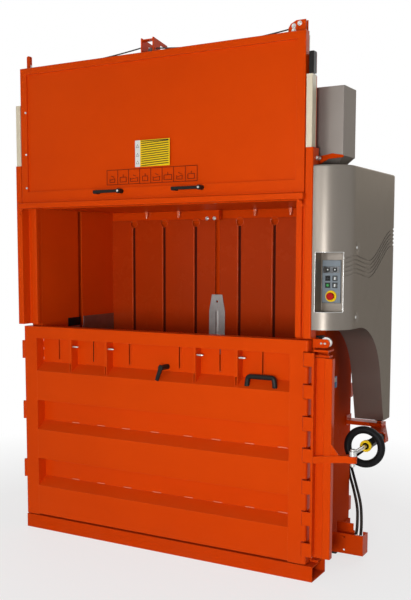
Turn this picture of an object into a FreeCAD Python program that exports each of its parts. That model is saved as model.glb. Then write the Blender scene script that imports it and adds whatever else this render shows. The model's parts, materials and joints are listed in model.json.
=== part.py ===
import FreeCAD, Part
import os
from math import ceil, cos, pi, radians, sin, sqrt, tan

# Large two-hand recycling baler: a welded press chamber with a sliding gate above a
# side-hung door.  Millimetres, +Z up, the front faces -Y, the origin on the floor under
# the middle cross member.  Depths (d) are counted from the door's front plane.

# ---- overall ----
door_plane = 430.0          # from the origin forward to the door's front plane
door_half_width = 994.0
door_left = door_half_width + 8.0
door_bottom = 95.0
door_top = 1355.0
wall_top = 2300.0           # top of the side walls
gate_top = wall_top + 700.0

# ---- chamber ----
chamber_left = 79.0 - door_half_width
chamber_right = door_half_width - 109.0
chamber_front = 92.0
chamber_back = 915.0
wall = 8.0                  # side and back sheet
column_half_width = door_half_width + 6.0   # outer faces of the two front columns
column_front = chamber_front - 4.0
column_depth = 162.0
column_wall = 8.0
frame_back = chamber_back + 40.0
rear_column_depth = 255.0
rear_column_reach = 28.0
rib_reach = 40.0
housing_front = 465.0       # box section that the platen's guide groove is cut into
housing_sheet = 6.0
rib_height = 60.0
rib_levels = (420.0, 900.0, 1380.0, 1860.0)
liner = 4.0
liner_front = 350.0
liner_top = door_top + 35.0
liner_window = (liner_front, 540.0, liner_top - 64.0, liner_top + 1.0)

# ---- base ----
sill_depth = 204.0
sill_height = 88.0
sill_right = door_half_width + 41.0
base_height = 100.0
base_wall = 8.0
fork_half_depth = 70.0
fork_right = chamber_right + 40.0
fork_left = chamber_left - 45.0
rear_member_depth = 140.0
floor_sheet = 12.0
floor_groove = (20.0, 6.0)

# ---- strap slots ----
strap_centre = -43.0
strap_pitch = 256.0
strap_middle = 340.0
strap_width = 20.0
strap_hole_radius = 29.0
lining = 8.0
lining_top = wall_top - 235.0
strap_hole_height = lining_top - 22.0
channel_width = 33.0
rail_top = wall_top - 110.0  # solid rail behind the raised platen, above the lining
spacer_half_width = 20.0      # bars that hold the lining's panels off the back wall
wedge_reach = 10.0
wedge_half_width = 15.0
wedge_top = lining_top + 63.0
back_rib_reach = 40.0
back_rib_height = 90.0
back_rib_levels = (150.0, 900.0, 1500.0, wall_top - 200.0)
tongue_top = 1545.0
tongue_bottom = 1130.0
tongue_half_width = 61.0
tongue_neck_half_width = 40.0
tongue_shoulder = tongue_top - 115.0
tongue_sheet = 5.0

# ---- gate guides ----
post_bottom = door_top + 15.0
post_top = wall_top + 90.0
gate_half_width = door_half_width - 22.0
post_inner = gate_half_width + 5.0
post_outer = post_inner + 43.0
post_face = -33.0           # depth of the post's and the gate's front face
post_web = (40.0, 50.0)
post_return = (gate_half_width - 67.0, gate_half_width - 32.0)
guide_strip_top = wall_top + 471.0
guide_strip_inset = 8.0
mast_inner = gate_half_width - 67.0
mast_outer = gate_half_width - 32.0
mast_front = 24.0
mast_depth = 46.0
top_beam_height = 60.0
top_beam_left = gate_half_width - 3.0
carrier_sheet = 8.0
limit_switch = (post_inner + 8.0, post_inner + 35.0, guide_strip_top + 7.0, guide_strip_top + 119.0)

# ---- gate ----
gate_bottom = wall_top - 147.0
gate_thickness = 48.0
gate_recess = 15.0
gate_sheet = 3.0
gate_side_border = 50.0
gate_top_border = 40.0
gate_rail = 71.0
lip_half_width = gate_half_width + 8.0
lip_reach = 36.0
lip_height = 33.0
lip_drop = 2.0              # lip top below the gate's lower edge
lip_gap = 3.0               # lip kept in front of the posts
gate_handle_x = (-285.0, 265.0)
gate_handle_span = 204.0
gate_handle_height = 24.0
gate_handle_reach = 34.0
pad_width = 26.0
pad_length = 120.0

# ---- door ----
left_stile = 102.0
right_stile = 107.0
stile_depth = 75.0
top_rail = 76.0
door_sheet = 8.0
beam_height = 193.0
beam_tops = (door_top - 1061.0, door_top - 683.0, door_top - 292.0)
beam_slope = 53.0
beam_sheet = 6.0
edge_radius = 14.0
left_edge_radius = 8.0
door_slot_pitch = (door_half_width - 169.0) / 3
door_slot_middle = 360.0
door_slot_centre = -38.0
door_slot_drop = 140.0
last_door_slot = door_slot_centre + door_slot_middle / 2 + 2 * door_slot_pitch
gusset_sheet = 4.0
gusset_width = 18.0
gusset_front = 6.0
gusset_notch = 62.0
gusset_pin_drop = 45.0
gusset_pin_d = 24.0
gusset_pin_length = 44.0
pin_radius = 7.0
door_handle_x = (last_door_slot - 91.0, last_door_slot + 106.0)
door_handle_rise = 85.0
door_handle_d = 10.0
handle_section = 22.0
handle_bend = 34.0
lever_x = 58.0              # the lever's spindle, in the door's back plate
lever_z = door_top - 210.0
lever_length = 80.0
lever_tilt = 33.0           # degrees from hanging straight down
lever_sheet = 11.0
hinge_x = door_left + 16.0  # hinge axis beyond the door's left edge
hinge_d = 16.0
hinge_levels = (door_bottom + 300.0, door_bottom + 695.0, door_top - 160.0)
knuckle_radius = 12.0
knuckle_height = 55.0
hinge_pin_radius = 7.0

# ---- lock bar ----
pivot_x = door_half_width + 46.0
pivot_d = 70.0
pivot_pin_radius = 11.0
lock_bottom = door_bottom + 37.0
lock_top = door_top - 93.0
lip_pitch = 178.0
lip_count = 7
lip_first = door_bottom + 89.0
lock_lip_height = 76.0
lock_lip_overlap = 22.0
lock_lip_sheet = 12.0
notch_clear = 5.0
strip_x = pivot_x - 14.0
strip_sheet = 8.0
web_left = door_half_width + 9.0
web_d = 32.0
web_sheet = 10.0
lock_tube_x = pivot_x + 47.0
lock_tube = 45.0
lock_tube_d = 6.0
bracket_sheet = 12.0
upper_bracket = (pivot_x - 16.0, pivot_x + 68.0, door_top - 59.0, door_top - 49.0)
arm_z = 704.0
arm_height = 38.0
arm_drop = 24.0             # the arm's left end lies lower than its flat right end
arm_flat = 40.0
arm_depth = 44.0
arm_d = -8.0
screw_x = pivot_x + 214.0
screw_d = 12.0
eye_radius = 20.0
eye_height = 26.0
swivel_bolt_radius = 8.0

# ---- handwheel and screw ----
spindle_radius = 11.0
spindle_end = 345.0
hub_front = 238.0
hub_radius = 27.0
sleeve_radius = 24.0
sleeve_bore = 19.5
sleeve_back = 498.0
journal_radius = 14.0
journal_length = 36.0
nut_rim = 6.0
wheel_radius = 117.0
rim_radius = 21.0
rim_d = 206.0
spoke_width = 34.0
spoke_sheet = 16.0
spoke_angle = 42.0
collar_radius = 33.0
collar_length = 14.0
lug_sheet = 20.0
lug_half_width = 28.0
shelf_front = 860.0
shelf_d = (shelf_front, shelf_front + 90.0)
shelf_drop = 46.0           # shelf top below the hood's lower edge
shelf_height = 25.0
shelf_arm = (30.0, 14.0)    # bar from the shelf to the lug: its bottom and top below the screw
seat_height = 10.0

# ---- hood ----
fit_gap = 0.3               # gap between separate pieces that only rest on each other
hood_inner = post_outer + fit_gap
hood_outer = hood_inner + 179.7
hood_front = -25.0
hood_back = frame_back + 23.0
hood_top = wall_top - 2.0
hood_bottom = 812.0
hood_skirt = door_top + 61.5
hood_sheet = 8.0
hood_corner = 165.0
hood_rear_corner = 150.0
cut_radius = 420.0
cut_start = 238.0
cut_lean = 15.0             # degrees from vertical of the cut-out's rear edge
recess = (hood_inner + 15.7, hood_inner + 151.7, hood_front + 100.0, hood_top - 786.0, hood_top - 462.0)
recess_wall = 6.0
groove_top = hood_top - 504.0
groove_pitch = 23.5
groove_count = 5
groove_width = 11.0
groove_depth = 4.0
groove_start = hood_front + 46.0
groove_bend = (380.0, 840.0)   # depths between which the grooves sweep up
groove_rise = 186.0
dimple_levels = (hood_top - 438.0, hood_top - 819.0)
dimple_d = 187.0
dimple_ball = 96.0
dimple_depth = 7.0

# ---- controls ----
panel = (recess[0] + 7.0, recess[0] + 113.0, recess[4] - 276.0, recess[4] - 43.0)
panel_sheet = 6.0
display = (panel[0] + 6.0, panel[1] - 8.0, panel[3] - 70.0, panel[3] - 35.0)
display_rim = 2.0
button_x = (panel[0] + 32.5, panel[0] + 73.5)
button_z = (panel[3] - 99.0, panel[3] - 136.5)
button_size = 19.0
button_reach = 5.0
button_travel = 3.0
button_clear = 0.5
stop_x = panel[0] + 53.0
stop_z = panel[3] - 196.0
stop_disc_radius = 31.0
stop_disc = 5.0
stop_radius = 20.0
stop_reach = 22.0
stop_stem_radius = 11.0
stop_travel = 4.0

# ---- cabinet ----
cabinet_x = (door_half_width - 44.0, door_half_width + 142.0)
cabinet_d = (112.0, 306.0)
cabinet_z = (wall_top + 52.0, wall_top + 422.0)
cabinet_taper = 42.0
cabinet_taper_in = 40.0

# ---- hydraulics ----
tank_d = (hood_back - 648.0, hood_back - 98.0)
tank_z = (hood_top - 818.0, hood_top - 338.0)
tank_feet = ((chamber_right + wall, 360.0), (chamber_right + rib_reach, 640.0))
motor_d = 640.0
motor_radius = 78.0
motor_height = 240.0

# ---- press ----
press_x = -15.0
press_d = 510.0
platen_bottom = wall_top - 180.0
platen_sheet = 20.0
platen_height = 85.0
platen_gap = 12.0
platen_front = chamber_front + 10.0
platen_back = chamber_back - 25.0
platen_rib = 16.0
press_travel = 1000.0
guide_half_width = 20.0
guide_clear = 2.0
guide_reach = 22.0
tongue_height = 120.0
barrel_radius = 85.0
barrel_bottom = wall_top - 60.0
barrel_top = wall_top + 660.0
stage_radius = 65.0
rod_radius = 42.0
running_fit = 0.06
rod_flange = 25.0
cap_height = 30.0
bridge_height = 140.0
bridge_beam = 70.0
bridge_gap = 15.0
flange_sheet = 28.0
flange_half = 135.0

# ---- sheaves and ropes ----
sheave_radius = 31.0
sheave_width = 22.0
sheave_axle = 7.0
right_sheave_x = gate_half_width - 67.0
right_sheave_z = gate_top + 30.0
side_plate = 6.0
left_sheave_x = 15.0 - gate_half_width
left_sheave_z = gate_top + 24.0
left_sheave_radius = 16.0
left_sheave_width = 10.0
left_bracket = (12.0, gate_top + 90.0)   # half width and top
centre_plates = (-88.0, 0.0)
centre_sheave_d = 66.0
centre_sheave_z = gate_top + 21.0
centre_sheave_radius = 21.0
centre_bracket_tops = (gate_top + 92.0, gate_top + 68.0)   # front and back
centre_bracket_back = 175.0
rope_radius = 4.0
rope_run = 115.0
rope_end_gap = 0.6          # the slanted rope ends just clear of the bracket's plates
rope_low = gate_top + 5.0   # lowest point of the sagging ropes

# ---- small side parts ----
roller_x = pivot_x + 33.0
roller_z = door_top - 12.0
roller_radius = 31.0
roller_width = 18.0
roller_plate = (column_half_width, column_half_width + 96.0, door_top - 42.0, door_top + 7.0)
roller_plate_d = (52.0, 60.0)
switch_x = (column_half_width + 22.0, column_half_width + 46.0)
switch_z = (door_top - 10.0, door_top + 23.0)
guard_x = (column_half_width + 57.0, column_half_width + 160.0)
guard_d = (500.0, 592.0)
guard_z = (20.0, 143.0)
guard_back_top = 185.0
guard_sheet = 5.0
hose_radius = 9.0
mount_x = column_half_width + 118.0
mount_d = 905.0
mount_radius = 22.0
guard_notch = (guard_x[0] + 22.0, guard_x[0] + 74.0, guard_z[0] + 96.0)
fitting_length = 46.0


# ---------------------------------------------------------------- helpers
def at(d):
    return d - door_plane


def point(x, d, z):
    return FreeCAD.Vector(x, at(d), z)


def block(xs, ds, zs):
    x0, x1 = sorted(xs)
    return Part.makeBox(x1 - x0, ds[1] - ds[0], zs[1] - zs[0], point(x0, ds[0], zs[0]))


def polygon(points):
    return Part.Face(Part.makePolygon(points + points[:1]))


def plan_prism(outline, z0, z1):
    """Prism of an outline of (x, depth) points."""
    return polygon([point(x, d, z0) for x, d in outline]).extrude(FreeCAD.Vector(0, 0, z1 - z0))


def side_prism(outline, x0, x1):
    """Prism of an outline of (depth, z) points."""
    return polygon([point(x0, d, z) for d, z in outline]).extrude(FreeCAD.Vector(x1 - x0, 0, 0))


def front_prism(outline, d0, d1):
    """Prism of an outline of (x, z) points."""
    return polygon([point(x, d0, z) for x, z in outline]).extrude(FreeCAD.Vector(0, d1 - d0, 0))


def upright(x, d, z0, z1, radius):
    return Part.makeCylinder(radius, z1 - z0, point(x, d, z0))


def along_x(x0, x1, d, z, radius):
    return Part.makeCylinder(radius, x1 - x0, point(x0, d, z), FreeCAD.Vector(1, 0, 0))


def along_d(x, d0, d1, z, radius):
    return Part.makeCylinder(radius, d1 - d0, point(x, d0, z), FreeCAD.Vector(0, 1, 0))


def fused(shapes):
    whole = shapes[0]
    if len(shapes) > 1:
        whole = whole.multiFuse(shapes[1:])
    return whole.removeSplitter()


def group(shapes):
    return Part.makeCompound(shapes)


def rounded(shape, radius, wanted):
    edges = [edge for edge in shape.Edges if wanted(edge.CenterOfMass, edge.BoundBox)]
    return shape.makeFillet(radius, edges)


def is_upright(box):
    return box.ZLength > 1 and box.XLength < 0.01 and box.YLength < 0.01


def runs_along_x(box):
    return box.XLength > 1 and box.YLength < 0.01 and box.ZLength < 0.01


def slot_places(centre, pitch, middle):
    half = [middle / 2 + pitch * step for step in range(3)]
    return sorted([centre - place for place in half] + [centre + place for place in half])


def hose(route, radius):
    """Round tube along straight runs joined by tangent arcs as large as the runs allow."""
    points = [point(*place) for place in route]
    edges, start = [], points[0]
    for before, corner, after in zip(points, points[1:], points[2:]):
        inward, outward = corner - before, after - corner
        turn = inward.getAngle(outward)
        reach = 0.45 * min(inward.Length, outward.Length)
        bend = reach / tan(turn / 2)
        entry = corner - inward.normalize() * reach
        leave = corner + outward.normalize() * reach
        bisector = (entry + leave) * 0.5 - corner
        centre_distance = sqrt(bend * bend + reach * reach)
        middle = corner + bisector.normalize() * (centre_distance - bend)
        edges.append(Part.LineSegment(start, entry).toShape())
        edges.append(Part.Arc(entry, middle, leave).toShape())
        print("hose bend radius", round(bend, 1))
        start = leave
    edges.append(Part.LineSegment(start, points[-1]).toShape())
    path = Part.Wire(edges)
    ring = Part.Wire(Part.makeCircle(radius, points[0], points[1] - points[0]))
    tube = path.makePipeShell([ring], True, False)
    print("hose volume share", round(tube.Volume / (pi * radius * radius * path.Length), 4))
    return tube


# ---------------------------------------------------------------- base and chamber
fork_front = door_plane - fork_half_depth
fork_back = door_plane + fork_half_depth
left_outer = chamber_left - rib_reach
right_outer = chamber_right + rib_reach
floor_top = base_height + floor_sheet
door_clear_back = stile_depth + door_sheet + 3.0


def open_tube(xs, ds, zs, sheet):
    outer = block(xs, ds, zs)
    inner = block((xs[0] - 1, xs[1] + 1), (ds[0] + sheet, ds[1] - sheet), (zs[0] + sheet, zs[1] - sheet))
    return outer.cut(inner)


def base_frame():
    step = door_clear_back
    outside = [(0, 0), (sill_depth, 0), (sill_depth, base_height), (step, base_height),
               (step, sill_height), (0, sill_height)]
    inside = [(base_wall, base_wall), (sill_depth - base_wall, base_wall),
              (sill_depth - base_wall, base_height - base_wall), (step + base_wall, base_height - base_wall),
              (step + base_wall, sill_height - base_wall), (base_wall, sill_height - base_wall)]
    sill = side_prism(outside, -door_left, sill_right)
    sill = sill.cut(side_prism(inside, -door_left - 1, sill_right + 1))
    middle = open_tube((fork_left, fork_right), (fork_front, fork_back), (0, base_height), base_wall)
    rear = block((left_outer, right_outer), (frame_back - rear_member_depth, frame_back), (0, base_height))
    rails = []
    for outer, inner in ((left_outer, chamber_left + 40), (chamber_right - 40, right_outer)):
        rails.append(block((outer, inner), (sill_depth, fork_front), (0, base_height)))
        rails.append(block((outer, inner), (fork_back, frame_back - rear_member_depth), (0, base_height)))
    return fused([sill, middle, rear] + rails)


def chamber_floor():
    sheet = block((chamber_left, chamber_right), (chamber_front, chamber_back), (base_height, floor_top))
    width, depth = floor_groove
    for x in slot_places(strap_centre, strap_pitch, strap_middle):
        sheet = sheet.cut(block((x - width / 2, x + width / 2), (chamber_front - 1, chamber_back + 1),
                                (floor_top - depth, floor_top + 1)))
    return sheet


def side_wall(side):
    """One welded side: sheet, front column, guide housing, rear column and cross ribs."""
    face = chamber_right if side > 0 else chamber_left
    column_reach = column_half_width - abs(face)

    def out(near, far):
        return sorted((face + side * near, face + side * far))

    def hollow(far, ds, zs, sheet):
        body = block(out(0, far), ds, zs)
        return body.cut(block(out(wall, far - sheet), (ds[0] + sheet, ds[1] - sheet),
                              (zs[0] + sheet, zs[1] - sheet)))

    full = (base_height, wall_top)
    pieces = [block(out(0, wall), (column_front, frame_back), full),
              hollow(column_reach, (column_front, column_front + column_depth), full, column_wall),
              hollow(rear_column_reach, (frame_back - rear_column_depth, frame_back), full, column_wall),
              hollow(rib_reach, (housing_front, frame_back - rear_column_depth), full, housing_sheet)]
    for level in rib_levels:
        pieces.append(block(out(wall, rib_reach - 6), (column_front + column_depth, housing_front),
                            (level, level + rib_height)))
    body = fused(pieces)
    groove_bottom = platen_bottom - press_travel - 30
    groove = block(out(-1, rib_reach - housing_sheet),
                   (press_d - guide_half_width, press_d + guide_half_width),
                   (groove_bottom, wall_top - 30))
    return body.cut(groove)


def right_side_wall():
    """The right side also carries the cabinet's bracket, welded on its top."""
    x0, x1 = cabinet_x
    d0, d1 = cabinet_d
    low = cabinet_z[0]
    foot = block((chamber_right, x0), (d0 + 10, d1 - 10), (wall_top, wall_top + 8))
    back = block((x0 - 8, x0), (d0 + 10, d1 - 10), (wall_top, low + 150))
    flag = front_prism([(x0 - 8, wall_top), (x0 + 34, wall_top), (x0 + 105, low - 14), (x1 + 2, low - 10),
                        (x1 + 2, low + 2), (x1 - 60, low + 14), (x0 - 8, low - 8)], d0 - 6, d0)
    web = block((x0 - 8, x0), (d0 - 6, d0 + 10), (wall_top, low - 8))
    return fused([side_wall(1), foot, back, flag, web])


def wall_liners():
    sheets = []
    d0, d1, z0, z1 = liner_window
    for face, side in ((chamber_left, 1), (chamber_right, -1)):
        sheet = block(sorted((face, face + side * liner)), (liner_front, chamber_back),
                      (floor_top, liner_top))
        window = block((face - 1 - liner, face + liner + 1), (d0 - 1, d1), (z0, z1))
        groove = block((face - 1 - liner, face + liner + 1),
                       (press_d - guide_half_width, press_d + guide_half_width),
                       (platen_bottom - press_travel - 30, liner_top + 1))
        sheets.append(sheet.cut(window).cut(groove))
    return group(sheets)


def lining_gaps():
    """Spans in x of the strap slots and of the centre channel, from left to right."""
    gaps = [(x - strap_width / 2, x + strap_width / 2) for x in slot_places(strap_centre, strap_pitch,
                                                                            strap_middle)]
    gaps.append((strap_centre - channel_width / 2, strap_centre + channel_width / 2))
    return sorted(gaps)


def lining_spans():
    edges = [chamber_left] + [edge for gap in lining_gaps() for edge in gap] + [chamber_right]
    return list(zip(edges[::2], edges[1::2]))


def back_lining():
    """Separate upright panels: the slots between them run the full height to keyhole tops."""
    holes = [along_d(x, chamber_back - 1, chamber_back + lining + 1, strap_hole_height, strap_hole_radius)
             for x in slot_places(strap_centre, strap_pitch, strap_middle)]
    return group([block(span, (chamber_back, chamber_back + lining),
                        (floor_top, lining_top)).cut(group(holes))
                  for span in lining_spans()])


def wedge(x, d, low, high):
    """Small pyramid on a wall: a point at the first height, widest and proudest at the second."""
    foot = point(x, d, low)
    left, right = point(x - wedge_half_width, d, high), point(x + wedge_half_width, d, high)
    crest = point(x, d - wedge_reach, high)
    faces = [polygon([foot, left, right]), polygon([foot, left, crest]),
             polygon([foot, right, crest]), polygon([left, right, crest])]
    solid = Part.Solid(Part.Shell(faces))
    if solid.Volume < 0:
        solid.reverse()
    return solid


def back_wall():
    sheet_d = frame_back - wall
    inner = (chamber_left, chamber_right)
    rail = chamber_back + lining
    pieces = [block(inner, (sheet_d, frame_back), (base_height, wall_top)),
              block(inner, (rail, sheet_d), (lining_top - 10, rail_top))]
    places = slot_places(strap_centre, strap_pitch, strap_middle)
    for index in (0, 1, 3, 4):
        x = (places[index] + places[index + 1]) / 2
        pieces.append(wedge(x, rail, lining_top + 4, wedge_top))
        pieces.append(wedge(x, rail, rail_top - 2, wedge_top + 4))
    for low, high in lining_spans():
        x = (low + high) / 2
        pieces.append(block((x - spacer_half_width, x + spacer_half_width), (rail, sheet_d),
                            (base_height, lining_top - 10)))
    ribs = (chamber_left - rear_column_reach, chamber_right + rear_column_reach)
    for level in back_rib_levels:
        pieces.append(block(ribs, (frame_back, frame_back + back_rib_reach),
                            (level, level + back_rib_height)))
    return fused(pieces)


def strap_guide_tongue():
    """Folded steel lead-in over the lower end of the back channel, creased down its middle."""
    outline = [(strap_centre - tongue_half_width, tongue_bottom),
               (strap_centre + tongue_half_width, tongue_bottom),
               (strap_centre + tongue_half_width, tongue_shoulder),
               (strap_centre + tongue_neck_half_width, tongue_top),
               (strap_centre - tongue_neck_half_width, tongue_top),
               (strap_centre - tongue_half_width, tongue_shoulder)]
    sheet = front_prism(outline, chamber_back - tongue_sheet, chamber_back)
    crease = tongue_sheet * 0.5
    ridge = plan_prism([(strap_centre - 12, chamber_back - tongue_sheet),
                        (strap_centre, chamber_back - tongue_sheet - crease),
                        (strap_centre + 12, chamber_back - tongue_sheet)], tongue_bottom, tongue_shoulder)
    hole = along_d(strap_centre, chamber_back - 2 * tongue_sheet, chamber_back + 1, tongue_top - 48, 8.0)
    return fused([sheet, ridge]).cut(hole)


# ---------------------------------------------------------------- gate guides
def gate_post(side):
    """C-section guide: a front tube, a web behind the channel and an inner return."""
    def span(near, far):
        return sorted((side * near, side * far))

    front_tube = block(span(post_inner, post_outer), (post_face, post_web[1]), (post_bottom, post_top))
    front_tube = rounded(front_tube, 6.0, lambda c, b: is_upright(b) and c.y < at(0))
    web = block(span(post_return[0], post_outer), post_web, (post_bottom, post_top))
    inner = block(span(*post_return), (post_web[0] - 18, post_web[1]), (post_bottom, post_top))
    inner = rounded(inner, 5.0, lambda c, b: is_upright(b) and c.y < at(post_web[0] - 10))
    spacer = block(span(post_return[0] + 10, column_half_width), (post_web[1], column_front),
                   (post_bottom, wall_top))
    return fused([front_tube, web, inner, spacer])


def gate_posts():
    return group([gate_post(-1), gate_post(1)])


def gate_portal():
    """Masts above the posts, tied by a beam behind the raised gate."""
    top = gate_top - 10
    pieces = [block((-top_beam_left, mast_outer), (mast_front, mast_front + mast_depth),
                    (top - top_beam_height, top))]
    for side in (-1, 1):
        mast = sorted((side * mast_inner, side * mast_outer))
        pieces.append(block(mast, (mast_front, mast_front + mast_depth), (post_top, top)))
        carrier = sorted((side * mast_inner, side * (post_outer - 8)))
        pieces.append(block(carrier, (mast_front, mast_front + carrier_sheet),
                            (post_top, guide_strip_top - 6)))
    low, high = limit_switch[2:]
    pieces.append(block((mast_outer - 5, limit_switch[1] - 2), (mast_front, mast_front + carrier_sheet),
                        (low + 6, high - 6)))
    return fused(pieces)


def post_guide_strips():
    strips = []
    for side in (-1, 1):
        span = sorted((side * post_inner, side * (post_outer - guide_strip_inset)))
        strip = block(span, (post_face, mast_front), (post_top, guide_strip_top))
        strips.append(rounded(strip, 5.0, lambda c, b: is_upright(b) and c.y < at(0)))
    return group(strips)


def gate_limit_switch():
    x0, x1, z0, z1 = limit_switch
    body = block((x0, x1), (mast_front - 44, mast_front), (z0, z1))
    return rounded(body, 3.0, lambda c, b: is_upright(b) and c.y < at(mast_front - 30))


# ---------------------------------------------------------------- gate
def gate_panel():
    back = post_face + gate_thickness
    body = block((-gate_half_width, gate_half_width), (post_face, back), (gate_bottom, gate_top))
    body = rounded(body, 5.0, lambda c, b: c.y < at(post_face + 1))
    opening = ((-gate_half_width + gate_side_border, gate_half_width - gate_side_border),
               (gate_bottom + gate_rail, gate_top - gate_top_border))
    front = block(opening[0], (post_face - 1, post_face + gate_recess), opening[1])
    rear = block(opening[0], (post_face + gate_recess + gate_sheet, back + 1), opening[1])
    return body.cut(front).cut(rear)


def gate_lip():
    top = gate_bottom - lip_drop
    front = post_face - lip_gap - lip_reach
    shelf = block((-lip_half_width, lip_half_width), (front, post_face - lip_gap), (top - lip_height, top))
    shelf = rounded(shelf, 4.0, lambda c, b: runs_along_x(b) and c.y < at(front + 1))
    hangers = block((-gate_half_width + 60, gate_half_width - 60), (post_face - lip_gap, post_face),
                    (top - 8, gate_bottom + 12))
    foot = block((-gate_half_width + 60, gate_half_width - 60), (post_face, post_face + 20),
                 (top - 8, gate_bottom))
    stays = []
    for side in (-1, 1):
        slanted = [(side * (lip_half_width - 40), top - lip_height),
                   (side * (lip_half_width - 28), top - lip_height),
                   (side * lip_half_width, top - 66), (side * lip_half_width, top - 78)]
        stays.append(front_prism(slanted, front + 10, front + 16))
    return fused([shelf, hangers, foot] + stays)


def bridge_handle(centre, span, height, reach, face, z):
    """Bow handle on a face that looks to the front."""
    x0, x1 = centre - span / 2, centre + span / 2
    outline = [(x0, face), (x0 + 10, face - reach), (x1 - 10, face - reach), (x1, face)]
    body = plan_prism(outline, z - height / 2, z + height / 2)
    hole = plan_prism([(x0 + 34, face + 1), (x0 + 38, face - reach + 13), (x1 - 38, face - reach + 13),
                       (x1 - 34, face + 1)], z - height, z + height)
    body = body.cut(hole)
    return rounded(body, 4.0, lambda c, b: c.y < at(face - reach + 1))


def gate_handles():
    z = gate_bottom + gate_rail * 0.62
    return group([bridge_handle(x, gate_handle_span, gate_handle_height, gate_handle_reach, post_face, z)
                  for x in gate_handle_x])


def gate_slide_pads():
    back = post_face + gate_thickness
    pads = []
    for side in (-1, 1):
        span = sorted((side * (gate_half_width - pad_width), side * gate_half_width))
        for z in (gate_bottom + 20, gate_top - 20 - pad_length):
            pads.append(block(span, (back, mast_front - fit_gap), (z, z + pad_length)))
    return group(pads)


# ---------------------------------------------------------------- door
def lip_levels():
    return [lip_first + lip_pitch * step for step in range(lip_count)]


door_edge_cut = door_half_width - lock_lip_overlap - notch_clear


def door_notches():
    """Pockets in the door's free edge that the lock bar's lips lie in."""
    height = lock_lip_height / 2 + notch_clear
    return [block((door_edge_cut, door_half_width + 20), (-60, stile_depth + door_sheet + 1),
                  (z - height, z + height))
            for z in lip_levels()]


def door_frame():
    outer, low = door_half_width, -door_left
    left = block((low, low + left_stile), (0, stile_depth), (door_bottom, door_top))
    left = rounded(left, left_edge_radius, lambda c, b: is_upright(b) and c.x < low + 1)
    right = block((outer - right_stile, outer), (0, stile_depth), (door_bottom, door_top))
    right = rounded(right, edge_radius, lambda c, b: is_upright(b) and c.x > outer - 1)
    rail = block((low + left_stile, outer - right_stile), (0, stile_depth), (door_top - top_rail, door_top))
    rail_hollow = block((low + left_stile, outer - right_stile), (door_sheet, stile_depth - door_sheet),
                        (door_top - top_rail + door_sheet, door_top - door_sheet))
    leaves = []
    for z in hinge_levels:
        knuckle = upright(-hinge_x, hinge_d, z, z + knuckle_height, knuckle_radius)
        leaf = block((-hinge_x, low + 8), (hinge_d - 6, hinge_d + 6), (z, z + knuckle_height))
        bore = upright(-hinge_x, hinge_d, z - 1, z + knuckle_height + 1, hinge_pin_radius + running_fit)
        leaves.append(fused([knuckle, leaf]).cut(bore))
    body = fused([left, right, rail.cut(rail_hollow)] + leaves)
    return body.cut(group(door_notches()))


def door_back_plate():
    plate = block((left_edge_radius - door_left, door_half_width - edge_radius),
                  (stile_depth, stile_depth + door_sheet),
                  (door_bottom, door_top))
    low = beam_tops[2] + beam_slope + 20
    for x in slot_places(door_slot_centre, door_slot_pitch, door_slot_middle):
        plate = plate.cut(block((x - strap_width / 2, x + strap_width / 2),
                                (stile_depth - 1, stile_depth + door_sheet + 1),
                                (max(low, door_top - top_rail - door_slot_drop), door_top - top_rail - 4)))
    return plate.cut(group(door_notches()))


def door_beams():
    """Three folded stiffening beams with sloped tops, between the stiles."""
    left, right = left_stile - door_left, door_half_width - right_stile
    beams = []
    for top in beam_tops:
        low = top - beam_height
        outside = [(0, low), (0, top), (stile_depth, top + beam_slope), (stile_depth, low)]
        sheet = beam_sheet
        lift = sheet * sqrt(stile_depth ** 2 + beam_slope ** 2) / stile_depth
        slope = beam_slope / stile_depth
        inside = [(sheet, low + sheet), (sheet, top + slope * sheet - lift),
                  (stile_depth - sheet, top + slope * (stile_depth - sheet) - lift),
                  (stile_depth - sheet, low + sheet)]
        beams.append(side_prism(outside, left, right).cut(side_prism(inside, left + sheet, right - sheet)))
    return group(beams)


def gusset_places():
    slots = slot_places(door_slot_centre, door_slot_pitch, door_slot_middle)
    return [(slots[i] + slots[i + 1]) / 2 for i in (0, 1, 3, 4)]


def door_gussets():
    """Folded channels in the upper recess; their fronts stop short of the sloped shelf."""
    top, shelf = door_top - top_rail, beam_tops[2]
    slope = beam_slope / stile_depth
    half, sheet = gusset_width / 2, gusset_sheet
    front = gusset_front
    channels = []
    for x in gusset_places():
        profile = [(front, top), (front, shelf + slope * front), (stile_depth, shelf + beam_slope),
                   (stile_depth, top)]
        outer = side_prism(profile, x - half, x + half)
        inner = block((x - half + sheet, x + half - sheet), (front + sheet, stile_depth + 1),
                      (shelf, top + 1))
        notch = block((x - half + sheet, x + half - sheet), (front - 1, front + sheet + 1),
                      (shelf, shelf + gusset_notch))
        channels.append(outer.cut(inner).cut(notch))
    return group(channels)


def gusset_pins():
    """Pointed zinc pins that stand out of the gussets' right sides."""
    z = door_top - top_rail - gusset_pin_drop
    pins = []
    for x in gusset_places():
        side = x + gusset_width / 2
        shank = along_x(side, side + gusset_pin_length - 12, gusset_pin_d, z, pin_radius)
        tip = Part.makeCone(pin_radius, 2.0, 12, point(side + gusset_pin_length - 12, gusset_pin_d, z),
                            FreeCAD.Vector(1, 0, 0))
        pins.append(fused([shank, tip]))
    return group(pins)


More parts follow.
